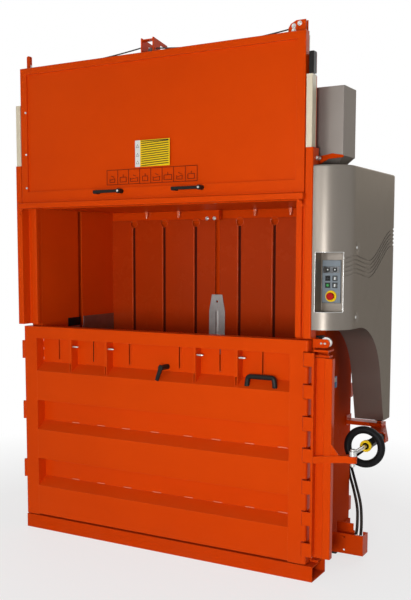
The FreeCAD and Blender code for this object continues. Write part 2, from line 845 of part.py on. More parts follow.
def door_handle():
    """Rounded bow handle standing on the sloped top of the upper beam."""
    x0, x1 = door_handle_x
    foot, slope = beam_tops[2], beam_slope / stile_depth
    ds = (door_handle_d, door_handle_d + handle_section)
    arch = block((x0, x1), ds, (foot, foot + door_handle_rise))
    arch = rounded(arch, handle_bend, lambda c, b: b.YLength > 1 and b.ZLength < 0.01 and c.z > foot + 1)
    inner = block((x0 + handle_section, x1 - handle_section), (ds[0] - 1, ds[1] + 1),
                  (foot - 1, foot + door_handle_rise - handle_section))
    inner = rounded(inner, handle_bend - handle_section + 4, lambda c, b: b.YLength > 1 and b.ZLength < 0.01
                    and c.z > foot)
    arch = rounded(arch.cut(inner), 7.0, lambda c, b: c.y < at(ds[0] + 0.1) and c.z > foot + 1)
    ground = side_prism([(0, foot), (stile_depth, foot + slope * stile_depth), (stile_depth, foot - 60),
                         (0, foot - 60)], x0 - 40, x1 + 40)
    return arch.cut(ground)


def lever_body():
    """Strap release lever: an arm that hangs from its spindle, leaning to the left."""
    lean = radians(lever_tilt)
    back = -1.0
    front = back - lever_sheet
    hub = along_d(lever_x, front - 3, back, lever_z, 14.0)
    spindle = along_d(lever_x, back - 1, stile_depth - 0.5, lever_z, pin_radius)
    across = FreeCAD.Vector(cos(lean), 0, -sin(lean))
    down = FreeCAD.Vector(-sin(lean), 0, -cos(lean))
    root = point(lever_x, front, lever_z)
    corners = [root - across * 11, root + across * 11, root + down * lever_length + across * 8,
               root + down * lever_length - across * 8]
    arm = polygon(corners).extrude(FreeCAD.Vector(0, lever_sheet, 0))
    nose = polygon([root - across * 9, root + across * 9, root - down * 20 + across * 6,
                    root - down * 20 - across * 6])
    return fused([hub, spindle, arm, nose.extrude(FreeCAD.Vector(0, lever_sheet, 0))])


def door_hinges():
    """Frame halves of the three hinges, each with its pin."""
    sets = []
    for z in hinge_levels:
        low = z - knuckle_height
        knuckle = upright(-hinge_x, hinge_d, low, z - fit_gap, knuckle_radius)
        pin = upright(-hinge_x, hinge_d, low, z + knuckle_height + 4, hinge_pin_radius)
        cap = upright(-hinge_x, hinge_d, z + knuckle_height + fit_gap, z + knuckle_height + 8,
                      knuckle_radius - 1)
        leaf = block((-hinge_x - knuckle_radius, -hinge_x), (hinge_d, column_front + 60), (low, z - fit_gap))
        seat = block((-hinge_x, -column_half_width), (column_front, column_front + 60), (low, z - fit_gap))
        sets.append(fused([knuckle, pin, cap, leaf, seat]))
    return group(sets)


# ---------------------------------------------------------------- lock
def lock_bar():
    """Pivoting bar: seven lips, edge strip, web, square tube and the lever arm."""
    low, high = lock_bottom + bracket_sheet + 1, lock_top - 1
    lip_left = door_half_width - lock_lip_overlap
    pieces = []
    for z in lip_levels():
        half = lock_lip_height / 2
        lip = block((lip_left, strip_x + strip_sheet), (-lock_lip_sheet, 0), (z - half, z + half))
        pieces.append(rounded(lip, 5.0, lambda c, b: is_upright(b) and c.x < lip_left + 1 and c.y < at(-6)))
    pieces.append(block((strip_x, strip_x + strip_sheet), (-lock_lip_sheet, web_d + web_sheet), (low, high)))
    pieces.append(block((web_left, lock_tube_x), (web_d, web_d + web_sheet), (low, high)))
    tube_d = (lock_tube_d, lock_tube_d + lock_tube)
    tube = block((lock_tube_x, lock_tube_x + lock_tube), tube_d, (low, high))
    tube = rounded(tube, 6.0, lambda c, b: is_upright(b))
    pieces.append(tube)
    boss = [upright(pivot_x, pivot_d, low, low + 60, pivot_pin_radius + 9),
            upright(pivot_x, pivot_d, high - 60, high, pivot_pin_radius + 9)]
    for cylinder, z in zip(boss, (low, high - 60)):
        cheek = block((pivot_x - 12, pivot_x + 12), (web_d, pivot_d), (z, z + 60))
        pieces += [cylinder, cheek]
    arm_top = arm_z + arm_height
    root, flat = strip_x + strip_sheet, screw_x - arm_flat
    arm = front_prism([(root, arm_z - arm_drop), (flat, arm_z), (screw_x, arm_z), (screw_x, arm_top),
                       (flat, arm_top), (root, arm_top - arm_drop)], arm_d, arm_d + arm_depth)
    end = upright(screw_x, arm_d + arm_depth / 2, arm_z, arm_top, arm_depth / 2)
    right = lock_tube_x + lock_tube
    gusset = front_prism([(right - 4, arm_z), (right + 44, arm_z + 10), (right + 44, arm_top - 6),
                          (right - 4, arm_top + 56)],
                         arm_d + arm_depth / 2 - 4, arm_d + arm_depth / 2 + 4)
    pieces += [arm, end, gusset]
    body = fused(pieces)
    bores = [upright(pivot_x, pivot_d, low - 1, low + 61, pivot_pin_radius + running_fit),
             upright(pivot_x, pivot_d, high - 61, high + 1, pivot_pin_radius + running_fit),
             upright(screw_x, screw_d, arm_z - 1, arm_top + 1, swivel_bolt_radius)]
    return body.cut(group(bores))


def lock_brackets():
    """Pivot brackets with their pins, and the plate of the door's support roller."""
    plates = []
    pins = ((lock_bottom, lock_bottom + bracket_sheet), (lock_top, lock_top + bracket_sheet))
    for index, (z0, z1) in enumerate(pins):
        outline = [(column_half_width - 30, column_front + 60), (column_half_width - 30, column_front),
                   (pivot_x - 24, column_front - 20), (pivot_x - 24, pivot_d - 26),
                   (pivot_x + 62, pivot_d - 26),
                   (pivot_x + 62, pivot_d + 24), (column_half_width + 6, column_front + 60)]
        plate = plan_prism(outline, z0, z1)
        plate = plate.cut(block((column_half_width - 31, column_half_width),
                                (column_front, column_front + 61),
                                (z0 - 1, z1 + 1)))
        if index:
            pin = upright(pivot_x, pivot_d, z0 - 55, z1 + 5, pivot_pin_radius)
        else:
            pin = upright(pivot_x, pivot_d, z0 - 5, z1 + 55, pivot_pin_radius)
        plates.append(fused([plate, pin]))
    x0, x1 = column_half_width, upper_bracket[1]
    z0, z1 = upper_bracket[2:]
    outline = [(x0, column_front + 60), (x0, column_front), (upper_bracket[0], post_web[1] + 4),
               (upper_bracket[0], 4), (x1, 4), (x1, pivot_d + 24), (x0 + 6, column_front + 60)]
    cheek = plan_prism([(x0, column_front + 60), (x0, column_front + 40), (pivot_x + 40, pivot_d + 12),
                        (pivot_x + 40, pivot_d + 24)], lock_top + bracket_sheet, z0)
    plates[1] = fused([plates[1], plan_prism(outline, z0, z1), cheek])
    x0, x1, z0, z1 = roller_plate
    d0, d1 = roller_plate_d
    plate = rounded(block((x0, x1), (d0, d1), (z0, z1)), 20.0,
                    lambda c, b: b.YLength > 1 and b.ZLength < 0.01 and c.x > x1 - 1)
    foot = block((x0, x0 + 8), (d1 - 2, column_front + 30), (z0, z1))
    axle = along_d(roller_x, d1 - 2, d1 + roller_width + 8, roller_z, 6.0)
    plates.append(fused([plate, foot, axle]))
    return group(plates)


def support_roller():
    d0 = roller_plate_d[1] + 2
    body = along_d(roller_x, d0, d0 + roller_width, roller_z, roller_radius)
    body = rounded(body, 3.0, lambda c, b: True)
    return body.cut(along_d(roller_x, d0 - 1, d0 + roller_width + 1, roller_z, 6.0 + running_fit))


def door_switch():
    low, high = switch_z
    body = block(switch_x, (column_front - 4, column_front + 26), switch_z)
    foot = block((column_half_width, switch_x[0]), (column_front + 8, column_front + 14),
                 (low + 20, high - 2))
    return fused([body, foot])


def swivel_bolt():
    arm_top = arm_z + arm_height
    shank = upright(screw_x, screw_d, arm_z - 22, arm_top + eye_height + 12, swivel_bolt_radius)
    head = upright(screw_x, screw_d, arm_top + eye_height + 2, arm_top + eye_height + 12,
                   swivel_bolt_radius + 6)
    nut = upright(screw_x, screw_d, arm_z - 16, arm_z, swivel_bolt_radius + 6)
    return fused([shank, head, nut])


screw_z = arm_z + arm_height + 1 + eye_height / 2


def lock_spindle():
    """Eye on the swivel bolt and the screw that runs back into the handwheel's sleeve."""
    low = arm_z + arm_height + fit_gap
    eye = upright(screw_x, screw_d, low, low + eye_height, eye_radius)
    screw = along_d(screw_x, screw_d + eye_radius - 6, spindle_end, screw_z, spindle_radius)
    bore = upright(screw_x, screw_d, low - 1, low + eye_height + 1, swivel_bolt_radius + running_fit)
    return fused([eye, screw]).cut(bore)


def handwheel():
    """Dished two-spoke wheel on a threaded sleeve whose journal turns in the lug."""
    centre = point(screw_x, rim_d, screw_z)
    rim = Part.makeTorus(wheel_radius - rim_radius, rim_radius, centre, FreeCAD.Vector(0, 1, 0))
    hub = along_d(screw_x, hub_front, hub_front + 46, screw_z, hub_radius)
    sleeve = along_d(screw_x, hub_front + 40, sleeve_back, screw_z, sleeve_radius)
    journal = along_d(screw_x, sleeve_back - 1, sleeve_back + journal_length, screw_z, journal_radius)
    spokes = []
    reach = wheel_radius - rim_radius
    for side in (-1, 1):
        root, knee = screw_x + side * (hub_radius - 6), screw_x + side * (collar_radius + 5)
        outline = [(root, hub_front + 4), (root, hub_front + 4 + spoke_sheet),
                   (knee, hub_front + 4 + spoke_sheet),
                   (screw_x + side * reach, rim_d + spoke_sheet / 2),
                   (screw_x + side * reach, rim_d - spoke_sheet / 2),
                   (knee, hub_front + 4)]
        arm = plan_prism(outline, screw_z - spoke_width / 2, screw_z + spoke_width / 2)
        arm.rotate(point(screw_x, rim_d, screw_z), FreeCAD.Vector(0, 1, 0), -spoke_angle)
        spokes.append(arm)
    body = fused([rim, hub, sleeve, journal] + spokes)
    return body.cut(along_d(screw_x, hub_front - 1, sleeve_back - 14, screw_z, sleeve_bore))


def wheel_collar():
    ring = along_d(screw_x, hub_front - collar_length, hub_front, screw_z, collar_radius)
    return ring.cut(along_d(screw_x, hub_front - collar_length - 1, hub_front + 1, screw_z, sleeve_bore))


def sleeve_nut():
    start = sleeve_back + 2 + lug_sheet + 1
    ring = along_d(screw_x, start, sleeve_back + journal_length, screw_z, journal_radius + nut_rim)
    return ring.cut(along_d(screw_x, start - 1, sleeve_back + journal_length + 1, screw_z, journal_radius))


def hood_bracket():
    """Shelf bar off the side wall under the hood, and the arm that carries the screw's lug."""
    wall_x = chamber_right + rear_column_reach
    top = hood_bottom - shelf_drop
    lug_front = sleeve_back + 2
    lug = (screw_x - lug_half_width, screw_x + lug_half_width)
    low, high = (screw_z - drop for drop in shelf_arm)
    shelf = block((wall_x, mount_x + 30), shelf_d, (top - shelf_height, top))
    arm = plan_prism([(mount_x - 40, shelf_d[0]), (mount_x - 40, shelf_d[1]), (mount_x + 30, shelf_d[1]),
                      (lug[1], lug_front + 60), (lug[1], lug_front), (lug[0], lug_front)], low, high)
    arm = arm.cut(along_d(screw_x, lug_front + lug_sheet, sleeve_back + journal_length + 6, screw_z,
                          journal_radius + nut_rim + 1))
    plate = block(lug, (lug_front, lug_front + lug_sheet), (low, screw_z + lug_half_width))
    plate = rounded(plate, 16.0, lambda c, b: b.YLength > 1 and b.XLength < 0.01 and b.ZLength < 0.01
                    and c.z > screw_z)
    ear = block((wall_x, wall_x + 8), shelf_d, (top - shelf_height - 10, top + 30))
    seat = upright(mount_x, mount_d, top - 1, top + seat_height, 14.0)
    body = fused([shelf, arm, plate, ear, seat])
    return body.cut(along_d(screw_x, lug_front - 1, lug_front + lug_sheet + 1, screw_z,
                            journal_radius + running_fit))


def hood_mount():
    return upright(mount_x, mount_d, hood_bottom - shelf_drop + seat_height, hood_bottom, mount_radius)


# ---------------------------------------------------------------- hood
def hood_plan(inset):
    """Closed plan outline of the hood, drawn inwards by inset, as a wire at z = 0."""
    front, back = hood_front + inset, hood_back - inset
    outer, corner, rear = hood_outer - inset, hood_corner - inset, hood_rear_corner - inset
    half = sqrt(0.5)
    inner = hood_inner - (1 if inset else 0)
    p = [point(inner, front, 0), point(outer - corner, front, 0),
         point(outer - corner + corner * half, front + corner - corner * half, 0),
         point(outer, front + corner, 0),
         point(outer, back - rear, 0), point(outer - rear + rear * half, back - rear + rear * half, 0),
         point(outer - rear, back, 0), point(inner, back, 0)]
    edges = [Part.LineSegment(p[0], p[1]), Part.Arc(p[1], p[2], p[3]), Part.LineSegment(p[3], p[4]),
             Part.Arc(p[4], p[5], p[6]), Part.LineSegment(p[6], p[7]), Part.LineSegment(p[7], p[0])]
    return Part.Wire([edge.toShape() for edge in edges])


def hood_cutout(grow):
    """Region under the hood's skirt: a flat edge, a large arc and a leaning rear edge."""
    lean = radians(cut_lean)
    centre = (cut_start, hood_skirt - cut_radius)
    radius = cut_radius + grow

    def on_arc(angle):
        return point(hood_inner - 20, centre[0] + radius * cos(angle), centre[1] + radius * sin(angle))

    start, end = on_arc(pi / 2), on_arc(lean)
    middle = on_arc((pi / 2 + lean) / 2)
    low = hood_bottom - 40
    run = (end.z - low) * tan(lean)
    foot = FreeCAD.Vector(end.x, end.y + run, low)
    front_low = point(hood_inner - 20, hood_front - 40, low)
    front_high = FreeCAD.Vector(start.x, front_low.y, start.z)
    edges = [Part.LineSegment(front_high, start), Part.Arc(start, middle, end), Part.LineSegment(end, foot),
             Part.LineSegment(foot, front_low), Part.LineSegment(front_low, front_high)]
    face = Part.Face(Part.Wire([edge.toShape() for edge in edges]))
    return face.extrude(FreeCAD.Vector(hood_outer - hood_inner + 60, 0, 0))


def hood_body(inset, low, high):
    wire = hood_plan(inset)
    wire.translate(FreeCAD.Vector(0, 0, low))
    return Part.Face(wire).extrude(FreeCAD.Vector(0, 0, high - low))


def groove_line(height, first, last):
    """Smooth edge curve of a groove: level, then sweeping up between the two bend depths."""
    rise_from, rise_to = groove_bend
    steps = 12
    places = [point(hood_inner, first, height)]
    for step in range(steps + 1):
        share = step / steps
        lift = groove_rise * share * share * (3 - 2 * share)
        places.append(point(hood_inner, rise_from + (rise_to - rise_from) * share, height + lift))
    places.append(point(hood_inner, last, height + groove_rise))
    curve = Part.BSplineCurve()
    curve.interpolate(places)
    return curve.toShape(), places[0], places[-1]


def groove_strips():
    """Grooves that run back from the control recess and sweep up towards the rear."""
    strips = []
    for number in range(groove_count):
        top = groove_top - number * groove_pitch
        upper, upper_first, upper_last = groove_line(top, groove_start, hood_back + 40)
        lower, lower_first, lower_last = groove_line(top - groove_width, groove_start, hood_back + 40)
        ends = [Part.LineSegment(upper_first, lower_first).toShape(),
                Part.LineSegment(upper_last, lower_last).toShape()]
        face = Part.Face(Part.Wire(Part.__sortEdges__([upper, lower] + ends)))
        strips.append(face.extrude(FreeCAD.Vector(hood_outer - hood_inner + 10, 0, 0)))
    return strips


def side_hood():
    body = hood_body(0, hood_bottom, hood_top)
    body = rounded(body, 10.0, lambda c, b: abs(c.z - hood_top) < 0.01 and c.x > hood_inner + 1
                   and not (b.YLength > 1 and b.XLength < 0.01 and c.x < hood_inner + 5))
    body = body.cut(hood_cutout(0))
    cavity = hood_body(hood_sheet, hood_bottom + hood_sheet,
                       hood_top - hood_sheet).cut(hood_cutout(hood_sheet))
    skin = body.cut(hood_body(groove_depth, hood_bottom - 5, hood_top + 5))
    x0, x1, depth, z0, z1 = recess
    pocket = block((hood_inner, x1 + recess_wall), (hood_front, depth + recess_wall),
                   (z0 - recess_wall, z1 + recess_wall)).common(body)
    shell = body.cut(cavity).cut(fused(groove_strips()).common(skin))
    shell = shell.fuse(pocket).cut(block((x0, x1), (hood_front - 60, depth), (z0, z1)))
    for z in dimple_levels:
        dimple = Part.makeSphere(dimple_ball, point(hood_outer + dimple_ball - dimple_depth, dimple_d, z))
        shell = shell.cut(dimple)
    return shell.removeSplitter()


def control_panel():
    """Panel plate with square cut-outs for the keys and a hole for the stop button."""
    x0, x1, z0, z1 = panel
    back = recess[2]
    plate = block((x0, x1), (back - panel_sheet, back), (z0, z1))
    plate = rounded(plate, 2.0, lambda c, b: c.y < at(back - panel_sheet + 0.1))
    x0, x1, z0, z1 = display
    plate = plate.fuse(block((x0, x1), (back - panel_sheet - display_rim, back - panel_sheet), (z0, z1)))
    half = button_size / 2 + button_clear
    for x in button_x:
        for z in button_z:
            plate = plate.cut(block((x - half, x + half), (back - panel_sheet - 1, back - 1),
                                    (z - half, z + half)))
    return plate.cut(along_d(stop_x, back - panel_sheet - 1, back - 1, stop_z,
                             stop_stem_radius + button_clear))


def push_button(x, z):
    face = recess[2] - panel_sheet - button_reach
    half = button_size / 2
    key = block((x - half, x + half), (face, recess[2] - 1 - button_travel - 0.3), (z - half, z + half))
    return rounded(key, 1.2, lambda c, b: c.y < at(face + 0.1))


def stop_plate():
    face = recess[2] - panel_sheet
    disc = along_d(stop_x, face - stop_disc, face, stop_z, stop_disc_radius)
    return disc.cut(along_d(stop_x, face - stop_disc - 1, face + 1, stop_z, stop_stem_radius + button_clear))


def stop_button():
    face = recess[2] - panel_sheet - stop_disc
    head_back = face - stop_travel - 0.5
    stem = along_d(stop_x, head_back - 1, recess[2] - 1 - stop_travel - 0.3, stop_z, stop_stem_radius)
    head = along_d(stop_x, face - stop_reach, head_back, stop_z, stop_radius)
    head = rounded(head, 4.0, lambda c, b: c.y < at(face - stop_reach + 0.1))
    return fused([stem, head])


def electrical_cabinet():
    """Box with a folded edge and a tapered lower end."""
    x0, x1 = cabinet_x
    d0, d1 = cabinet_d
    z0, z1 = cabinet_z
    body = rounded(block((x0, x1), (d0, d1), (z0, z1)), 6.0, lambda c, b: is_upright(b))
    inset = cabinet_taper_in
    upper = Part.makePolygon([point(x0 + 4, d0 + 4, z0), point(x1 - 4, d0 + 4, z0),
                              point(x1 - 4, d1 - 4, z0),
                              point(x0 + 4, d1 - 4, z0), point(x0 + 4, d0 + 4, z0)])
    low = z0 - cabinet_taper
    lower = Part.makePolygon([point(x0 + inset, d0 + inset, low), point(x1 - inset, d0 + inset, low),
                              point(x1 - inset, d1 - inset, low), point(x0 + inset, d1 - inset, low),
                              point(x0 + inset, d0 + inset, low)])
    taper = Part.makeLoft([upper, lower], True, True)
    return fused([body, taper])


def oil_tank():
    x0, x1 = right_outer + 15, hood_outer - 40
    low, high = tank_z
    tank = rounded(block((x0, x1), tank_d, tank_z), 12.0, lambda c, b: is_upright(b))
    bracket = [block((root, x0), (d, d + 30), (low + 20, low + 50)) for root, d in tank_feet]
    filler = upright(x0 + 60, tank_d[0] + 90, high, high + 30, 26.0)
    return fused([tank, filler] + bracket)


def pump_motor():
    x, low = (right_outer + hood_outer) / 2 - 5, tank_z[1] + 15
    high = low + motor_height
    body = upright(x, motor_d, low, high, motor_radius)
    flange = upright(x, motor_d, tank_z[1], low, motor_radius + 10)
    fan_cover = upright(x, motor_d, high, high + 30, motor_radius - 8)
    return fused([body, flange, fan_cover])


# ---------------------------------------------------------------- press
def press_bridge():
    """Two beams over the chamber, tied by end plates and the cylinder's seat plate."""
    near = barrel_radius + bridge_gap
    zs = (wall_top, wall_top + bridge_height)
    pieces = []
    for side in (-1, 1):
        ds = sorted((press_d + side * near, press_d + side * (near + bridge_beam)))
        pieces.append(block((left_outer, right_outer), ds, zs))
    span = (press_d - near, press_d + near)
    pieces.append(block((left_outer, left_outer + 30), span, zs))
    pieces.append(block((right_outer - 30, right_outer), span, zs))
    seat = block((press_x - flange_half, press_x + flange_half), span, (zs[1] - 20, zs[1]))
    pieces.append(seat.cut(upright(press_x, press_d, zs[1] - 21, zs[1] + 1, barrel_radius + 2)))
    return fused(pieces)


def press_cylinder():
    seat = wall_top + bridge_height
    barrel = upright(press_x, press_d, barrel_bottom, barrel_top, barrel_radius)
    flange = block((press_x - flange_half, press_x + flange_half),
                   (press_d - flange_half, press_d + flange_half),
                   (seat, seat + flange_sheet))
    cap = upright(press_x, press_d, barrel_top, barrel_top + cap_height, barrel_radius + 8)
    body = fused([barrel, flange, cap])
    return body.cut(upright(press_x, press_d, barrel_bottom - 1, barrel_top - 40,
                            stage_radius + running_fit))


def cylinder_stage():
    top = barrel_top - 50
    tube = upright(press_x, press_d, barrel_bottom, top, stage_radius)
    return tube.cut(upright(press_x, press_d, barrel_bottom - 1, top - 15, rod_radius + running_fit))


def piston_rod():
    seat = platen_bottom + platen_height
    flange = upright(press_x, press_d, seat, seat + rod_flange, rod_radius + 36)
    rod = upright(press_x, press_d, seat, barrel_top - 75, rod_radius)
    return fused([flange, rod])


def platen():
    """Ribbed press plate with side tongues in the wall grooves and a rear guide block."""
    left, right = chamber_left + platen_gap, chamber_right - platen_gap
    z0, z1, z2 = platen_bottom, platen_bottom + platen_sheet, platen_bottom + platen_height
    pieces = [block((left, right), (platen_front, platen_back), (z0, z1))]
    for d in (platen_front, press_d - 130, press_d + 130 - platen_rib, platen_back - platen_rib):
        pieces.append(block((left, right), (d, d + platen_rib), (z1, z2)))
    for x in (left, press_x - 130, press_x + 130 - platen_rib, right - platen_rib):
        pieces.append(block((x, x + platen_rib), (platen_front, platen_back), (z1, z2)))
    pieces.append(block((press_x - 130, press_x + 130), (press_d - 130, press_d + 130), (z2 - 25, z2)))
    half = guide_half_width - guide_clear
    for face, side in ((left, -1), (right, 1)):
        pieces.append(block(sorted((face, face + side * (platen_gap + guide_reach))),
                            (press_d - half, press_d + half),
                            (z0, z0 + tongue_height)))
    pieces.append(block((strap_centre - 95, strap_centre + 45), (platen_back - 40, platen_back),
                        (z0 - 62, z0)))
    return fused(pieces)


# ---------------------------------------------------------------- sheaves and ropes
def sheave(centre_x, d0, d1, z, radius):
    """Grooved rope wheel whose axle lies along the depth."""
    body = along_d(centre_x, d0, d1, z, radius)
    ring = Part.makeTorus(radius + 1, (d1 - d0) * 0.3, point(centre_x, (d0 + d1) / 2, z),
                          FreeCAD.Vector(0, 1, 0))
    return body.cut(ring).cut(along_d(centre_x, d0 - 1, d1 + 1, z, sheave_axle + running_fit))


def sheave_across(x0, x1, d, z, radius):
    """Grooved rope wheel whose axle lies along X."""
    body = along_x(x0, x1, d, z, radius)
    ring = Part.makeTorus(radius + 1, (x1 - x0) * 0.3, point((x0 + x1) / 2, d, z), FreeCAD.Vector(1, 0, 0))
    return body.cut(ring).cut(along_x(x0 - 1, x1 + 1, d, z, sheave_axle + running_fit))


portal_top = gate_top - 10
sheave_d0 = mast_front + mast_depth / 2 - sheave_width / 2


rope_d = mast_front + mast_depth / 2


def front_plates(outline, inner, outer):
    """Two plates that look to the front, outside the depths inner and outer."""
    return [front_prism(outline, inner - side_plate, inner), front_prism(outline, outer, outer + side_plate)]


def sheave_brackets():
    pieces = []
    x, z = right_sheave_x, right_sheave_z
    top = z + sheave_radius + 9
    outline = [(x - 60, portal_top), (x - 59, z + 4), (x - 46, z + 24), (x - 14, top), (x + 41, top),
               (x + 41, portal_top)]
    d0, d1 = sheave_d0 - 2, sheave_d0 + sheave_width + 2
    foot = block((x - 60, x - 50), (d0 - side_plate, d1 + side_plate), (portal_top, portal_top + 10))
    axle = along_d(x, d0 - side_plate - 6, d1 + side_plate + 6, z, sheave_axle)
    pieces.append(fused(front_plates(outline, d0, d1) + [foot, axle]))

    x, z = left_sheave_x, left_sheave_z
    half, top = left_bracket
    outline = [(x - half, portal_top), (x - half, top - 6), (x - half + 6, top), (x + half - 6, top),
               (x + half, top - 6),
               (x + half, portal_top)]
    d0, d1 = rope_d - left_sheave_width / 2 - 1, rope_d + left_sheave_width / 2 + 1
    foot = block((x - half, x + half), (d0 - side_plate, d1 + side_plate), (portal_top, portal_top + 4))
    cap = block((x - half + 6, x + half - 6), (d0 - side_plate, d1 + side_plate), (top - 8, top))
    axle = along_d(x, d0 - side_plate - 2, d1 + side_plate + 2, z, sheave_axle)
    pieces.append(fused(front_plates(outline, d0, d1) + [foot, cap, axle]))

    low, high = centre_plates
    d, z = centre_sheave_d, centre_sheave_z
    front, sheet = post_face + gate_thickness + 2, side_plate + 2
    tall, short = centre_bracket_tops
    outline = [(front, portal_top), (front, tall), (centre_bracket_back, short),
               (centre_bracket_back, portal_top)]
    window = [(d + 28, portal_top + 14), (centre_bracket_back - 14, portal_top + 14),
              (centre_bracket_back - 14, short - 16),
              (d + 28, short - 10)]
    centre = [block((low, high), (front, centre_bracket_back), (portal_top, portal_top + 8)),
              block((low, high), (front, front + 44), (tall - 14, tall - 8)),
              along_x(low - 4, high + 4, d, z, sheave_axle)]
    for x in (low, high - sheet):
        centre.append(side_prism(outline, x, x + sheet).cut(side_prism(window, x - 1, x + sheet + 1)))
    return group(pieces + [fused(centre)])


centre_x = (centre_plates[0] + centre_plates[1]) / 2


def right_sheave():
    return sheave(right_sheave_x, sheave_d0, sheave_d0 + sheave_width, right_sheave_z, sheave_radius)


def left_sheave():
    half = left_sheave_width / 2
    return sheave(left_sheave_x, rope_d - half, rope_d + half, left_sheave_z, left_sheave_radius)


def centre_sheave():
    half = sheave_width / 2
    return sheave_across(centre_x - half, centre_x + half, centre_sheave_d, centre_sheave_z,
                         centre_sheave_radius)


def rope_route(start, end, lowest, sag):
    """Places along a hanging rope: a parabola with its lowest point at lowest."""
    steps = ceil(abs(end - start) / rope_run)
    route = []
    for step in range(steps + 1):
        x = start + (end - start) * step / steps
        route.append((x, rope_d, rope_low + sag * ((x - lowest) / 1000) ** 2))
    return route


rope_routes = (
    rope_route(centre_plates[0] - rope_end_gap, left_sheave_x + left_sheave_radius - 1 - rope_end_gap,
               -680.0, 118.0),
    rope_route(centre_plates[1] + rope_end_gap, right_sheave_x - sheave_radius, 421.0, 150.0),
)


def sync_rope():
    """Tie ropes over the top beam, from the centre bracket to the left and the right one."""
    return group([hose(route, rope_radius) for route in rope_routes])


# ---------------------------------------------------------------- hoses
def hose_guard():
    x0, x1 = guard_x
    d0, d1 = guard_d
    z0, z1 = guard_z
    sheet = guard_sheet
    front = block((x0, x1), (d0, d0 + sheet), (z0, z1))
    right = block((x1 - sheet, x1), (d0, d1), (z0, z1))
    back = block((x0 - 90, x1), (d1 - sheet, d1), (z0, z1))
    back = back.fuse(block((x0 - 90, x0 + 14), (d1 - sheet, d1), (z1, guard_back_top)))
    flange = block((column_half_width, x0), (d0, d0 + sheet), (z0, z1))
    left, right_end, bottom = guard_notch
    notch = block((left, right_end), (d1 - sheet - 1, d1 + 1), (bottom, z1 + 1))
    holes = [along_d(x0 - 14, d0 - 1, d0 + sheet + 1, z, 6.0) for z in (z0 + 22, z1 - 22)]
    root = right_outer + fit_gap
    side = block((root, root + sheet), (d0, d1), (z0, z1))
    stay = block((root, column_half_width), (d0, d0 + sheet), (z0, z1))
    return fused([front, right, back, flange, side, stay]).cut(group(holes + [notch]))


hose_start = back_rib_levels[1] - 34
hose_routes = (
    [(890, 978, hose_start), (890, 978, 760), (892, 982, 650), (893, 984, 550), (894, 984, 450),
     (907, 983, 370), (938, 954, 318), (975, 885, 284), (1011, 815, 254), (1042, 745, 225),
     (1063, 685, 200), (1080, 632, 172), (1092, 590, 145), (1096, 560, 122)],
    [(862, 978, hose_start), (862, 978, 760), (866, 990, 640), (880, 1008, 530), (904, 1014, 430),
     (931, 1003, 356), (963, 960, 308), (1000, 895, 275), (1036, 822, 245), (1062, 758, 221),
     (1083, 700, 195), (1102, 645, 168), (1116, 598, 140), (1124, 563, 119)],
)


def hose_fittings():
    """Unions under the rear rib, and the manifold in the guard that both hoses end in."""
    pieces = []
    ends = [block((1076, 1144), (510, 552), (40, 96))]
    for route in hose_routes:
        x, d, z = route[0]
        pieces.append(upright(x, d, z, back_rib_levels[1], hose_radius + 4))
        last, before = point(*route[-1]), point(*route[-2])
        run = (last - before).normalize()
        ends.append(Part.makeCylinder(hose_radius + 3, fitting_length, last, run))
    return group(pieces + [fused(ends)])


# ---------------------------------------------------------------- nodes
nodes = {
    "base_frame": base_frame(),
    "chamber_floor": chamber_floor(),
    "left_side_wall": side_wall(-1),
    "right_side_wall": right_side_wall(),
    "wall_liners": wall_liners(),
    "back_wall": back_wall(),
    "back_lining": back_lining(),
    "strap_guide_tongue": strap_guide_tongue(),
    "gate_posts": gate_posts(),
    "gate_portal": gate_portal(),
    "post_guide_strips": post_guide_strips(),
    "gate_limit_switch": gate_limit_switch(),
    "sheave_brackets": sheave_brackets(),
    "left_sheave": left_sheave(),
    "right_sheave": right_sheave(),
    "centre_sheave": centre_sheave(),
    "sync_rope": sync_rope(),
    "press_bridge": press_bridge(),
    "press_cylinder": press_cylinder(),
    "cylinder_stage": cylinder_stage(),
    "piston_rod": piston_rod(),
    "platen": platen(),
    "gate_panel": gate_panel(),
    "gate_lip": gate_lip(),
    "gate_handles": gate_handles(),
    "gate_slide_pads": gate_slide_pads(),
    "door_frame": door_frame(),
    "door_back_plate": door_back_plate(),
    "door_beams": door_beams(),
    "door_gussets": door_gussets(),
    "gusset_pins": gusset_pins(),
    "door_handle": door_handle(),
    "door_lever": lever_body(),
    "door_hinges": door_hinges(),
    "lock_bar": lock_bar(),
    "lock_brackets": lock_brackets(),
    "support_roller": support_roller(),
    "door_switch": door_switch(),
    "swivel_bolt": swivel_bolt(),
    "lock_spindle": lock_spindle(),
    "handwheel": handwheel(),
    "wheel_collar": wheel_collar(),
    "sleeve_nut": sleeve_nut(),
    "hood_bracket": hood_bracket(),
    "hood_mount": hood_mount(),
    "side_hood": side_hood(),
    "control_panel": control_panel(),
    "stop_plate": stop_plate(),
    "stop_button": stop_button(),
    "electrical_cabinet": electrical_cabinet(),
    "oil_tank": oil_tank(),
    "pump_motor": pump_motor(),
    "hose_guard": hose_guard(),
    "hose_fittings": hose_fittings(),
    "front_hose": hose(hose_routes[0], hose_radius),
    "rear_hose": hose(hose_routes[1], hose_radius),
}
for row, z in enumerate(button_z):
    for column, x in enumerate(button_x):
        name = ("upper", "lower")[row] + "_" + ("left", "right")[column] + "_button"
        nodes[name] = push_button(x, z)

os.makedirs("parts", exist_ok=True)
for name, shape in nodes.items():
    bounds = shape.BoundBox
    print(f"{name:22s} solids {len(shape.Solids)} valid {shape.isValid()} faces {len(shape.Faces):4d} "
          f"volume {shape.Volume / 1e6:9.3f} x {bounds.XMin:.0f} {bounds.XMax:.0f} "
          f"y {bounds.YMin:.0f} {bounds.YMax:.0f} z {bounds.ZMin:.0f} {bounds.ZMax:.0f}")
    shape.exportStep(os.path.join("parts", name + ".step"))
print("nodes", len(nodes))
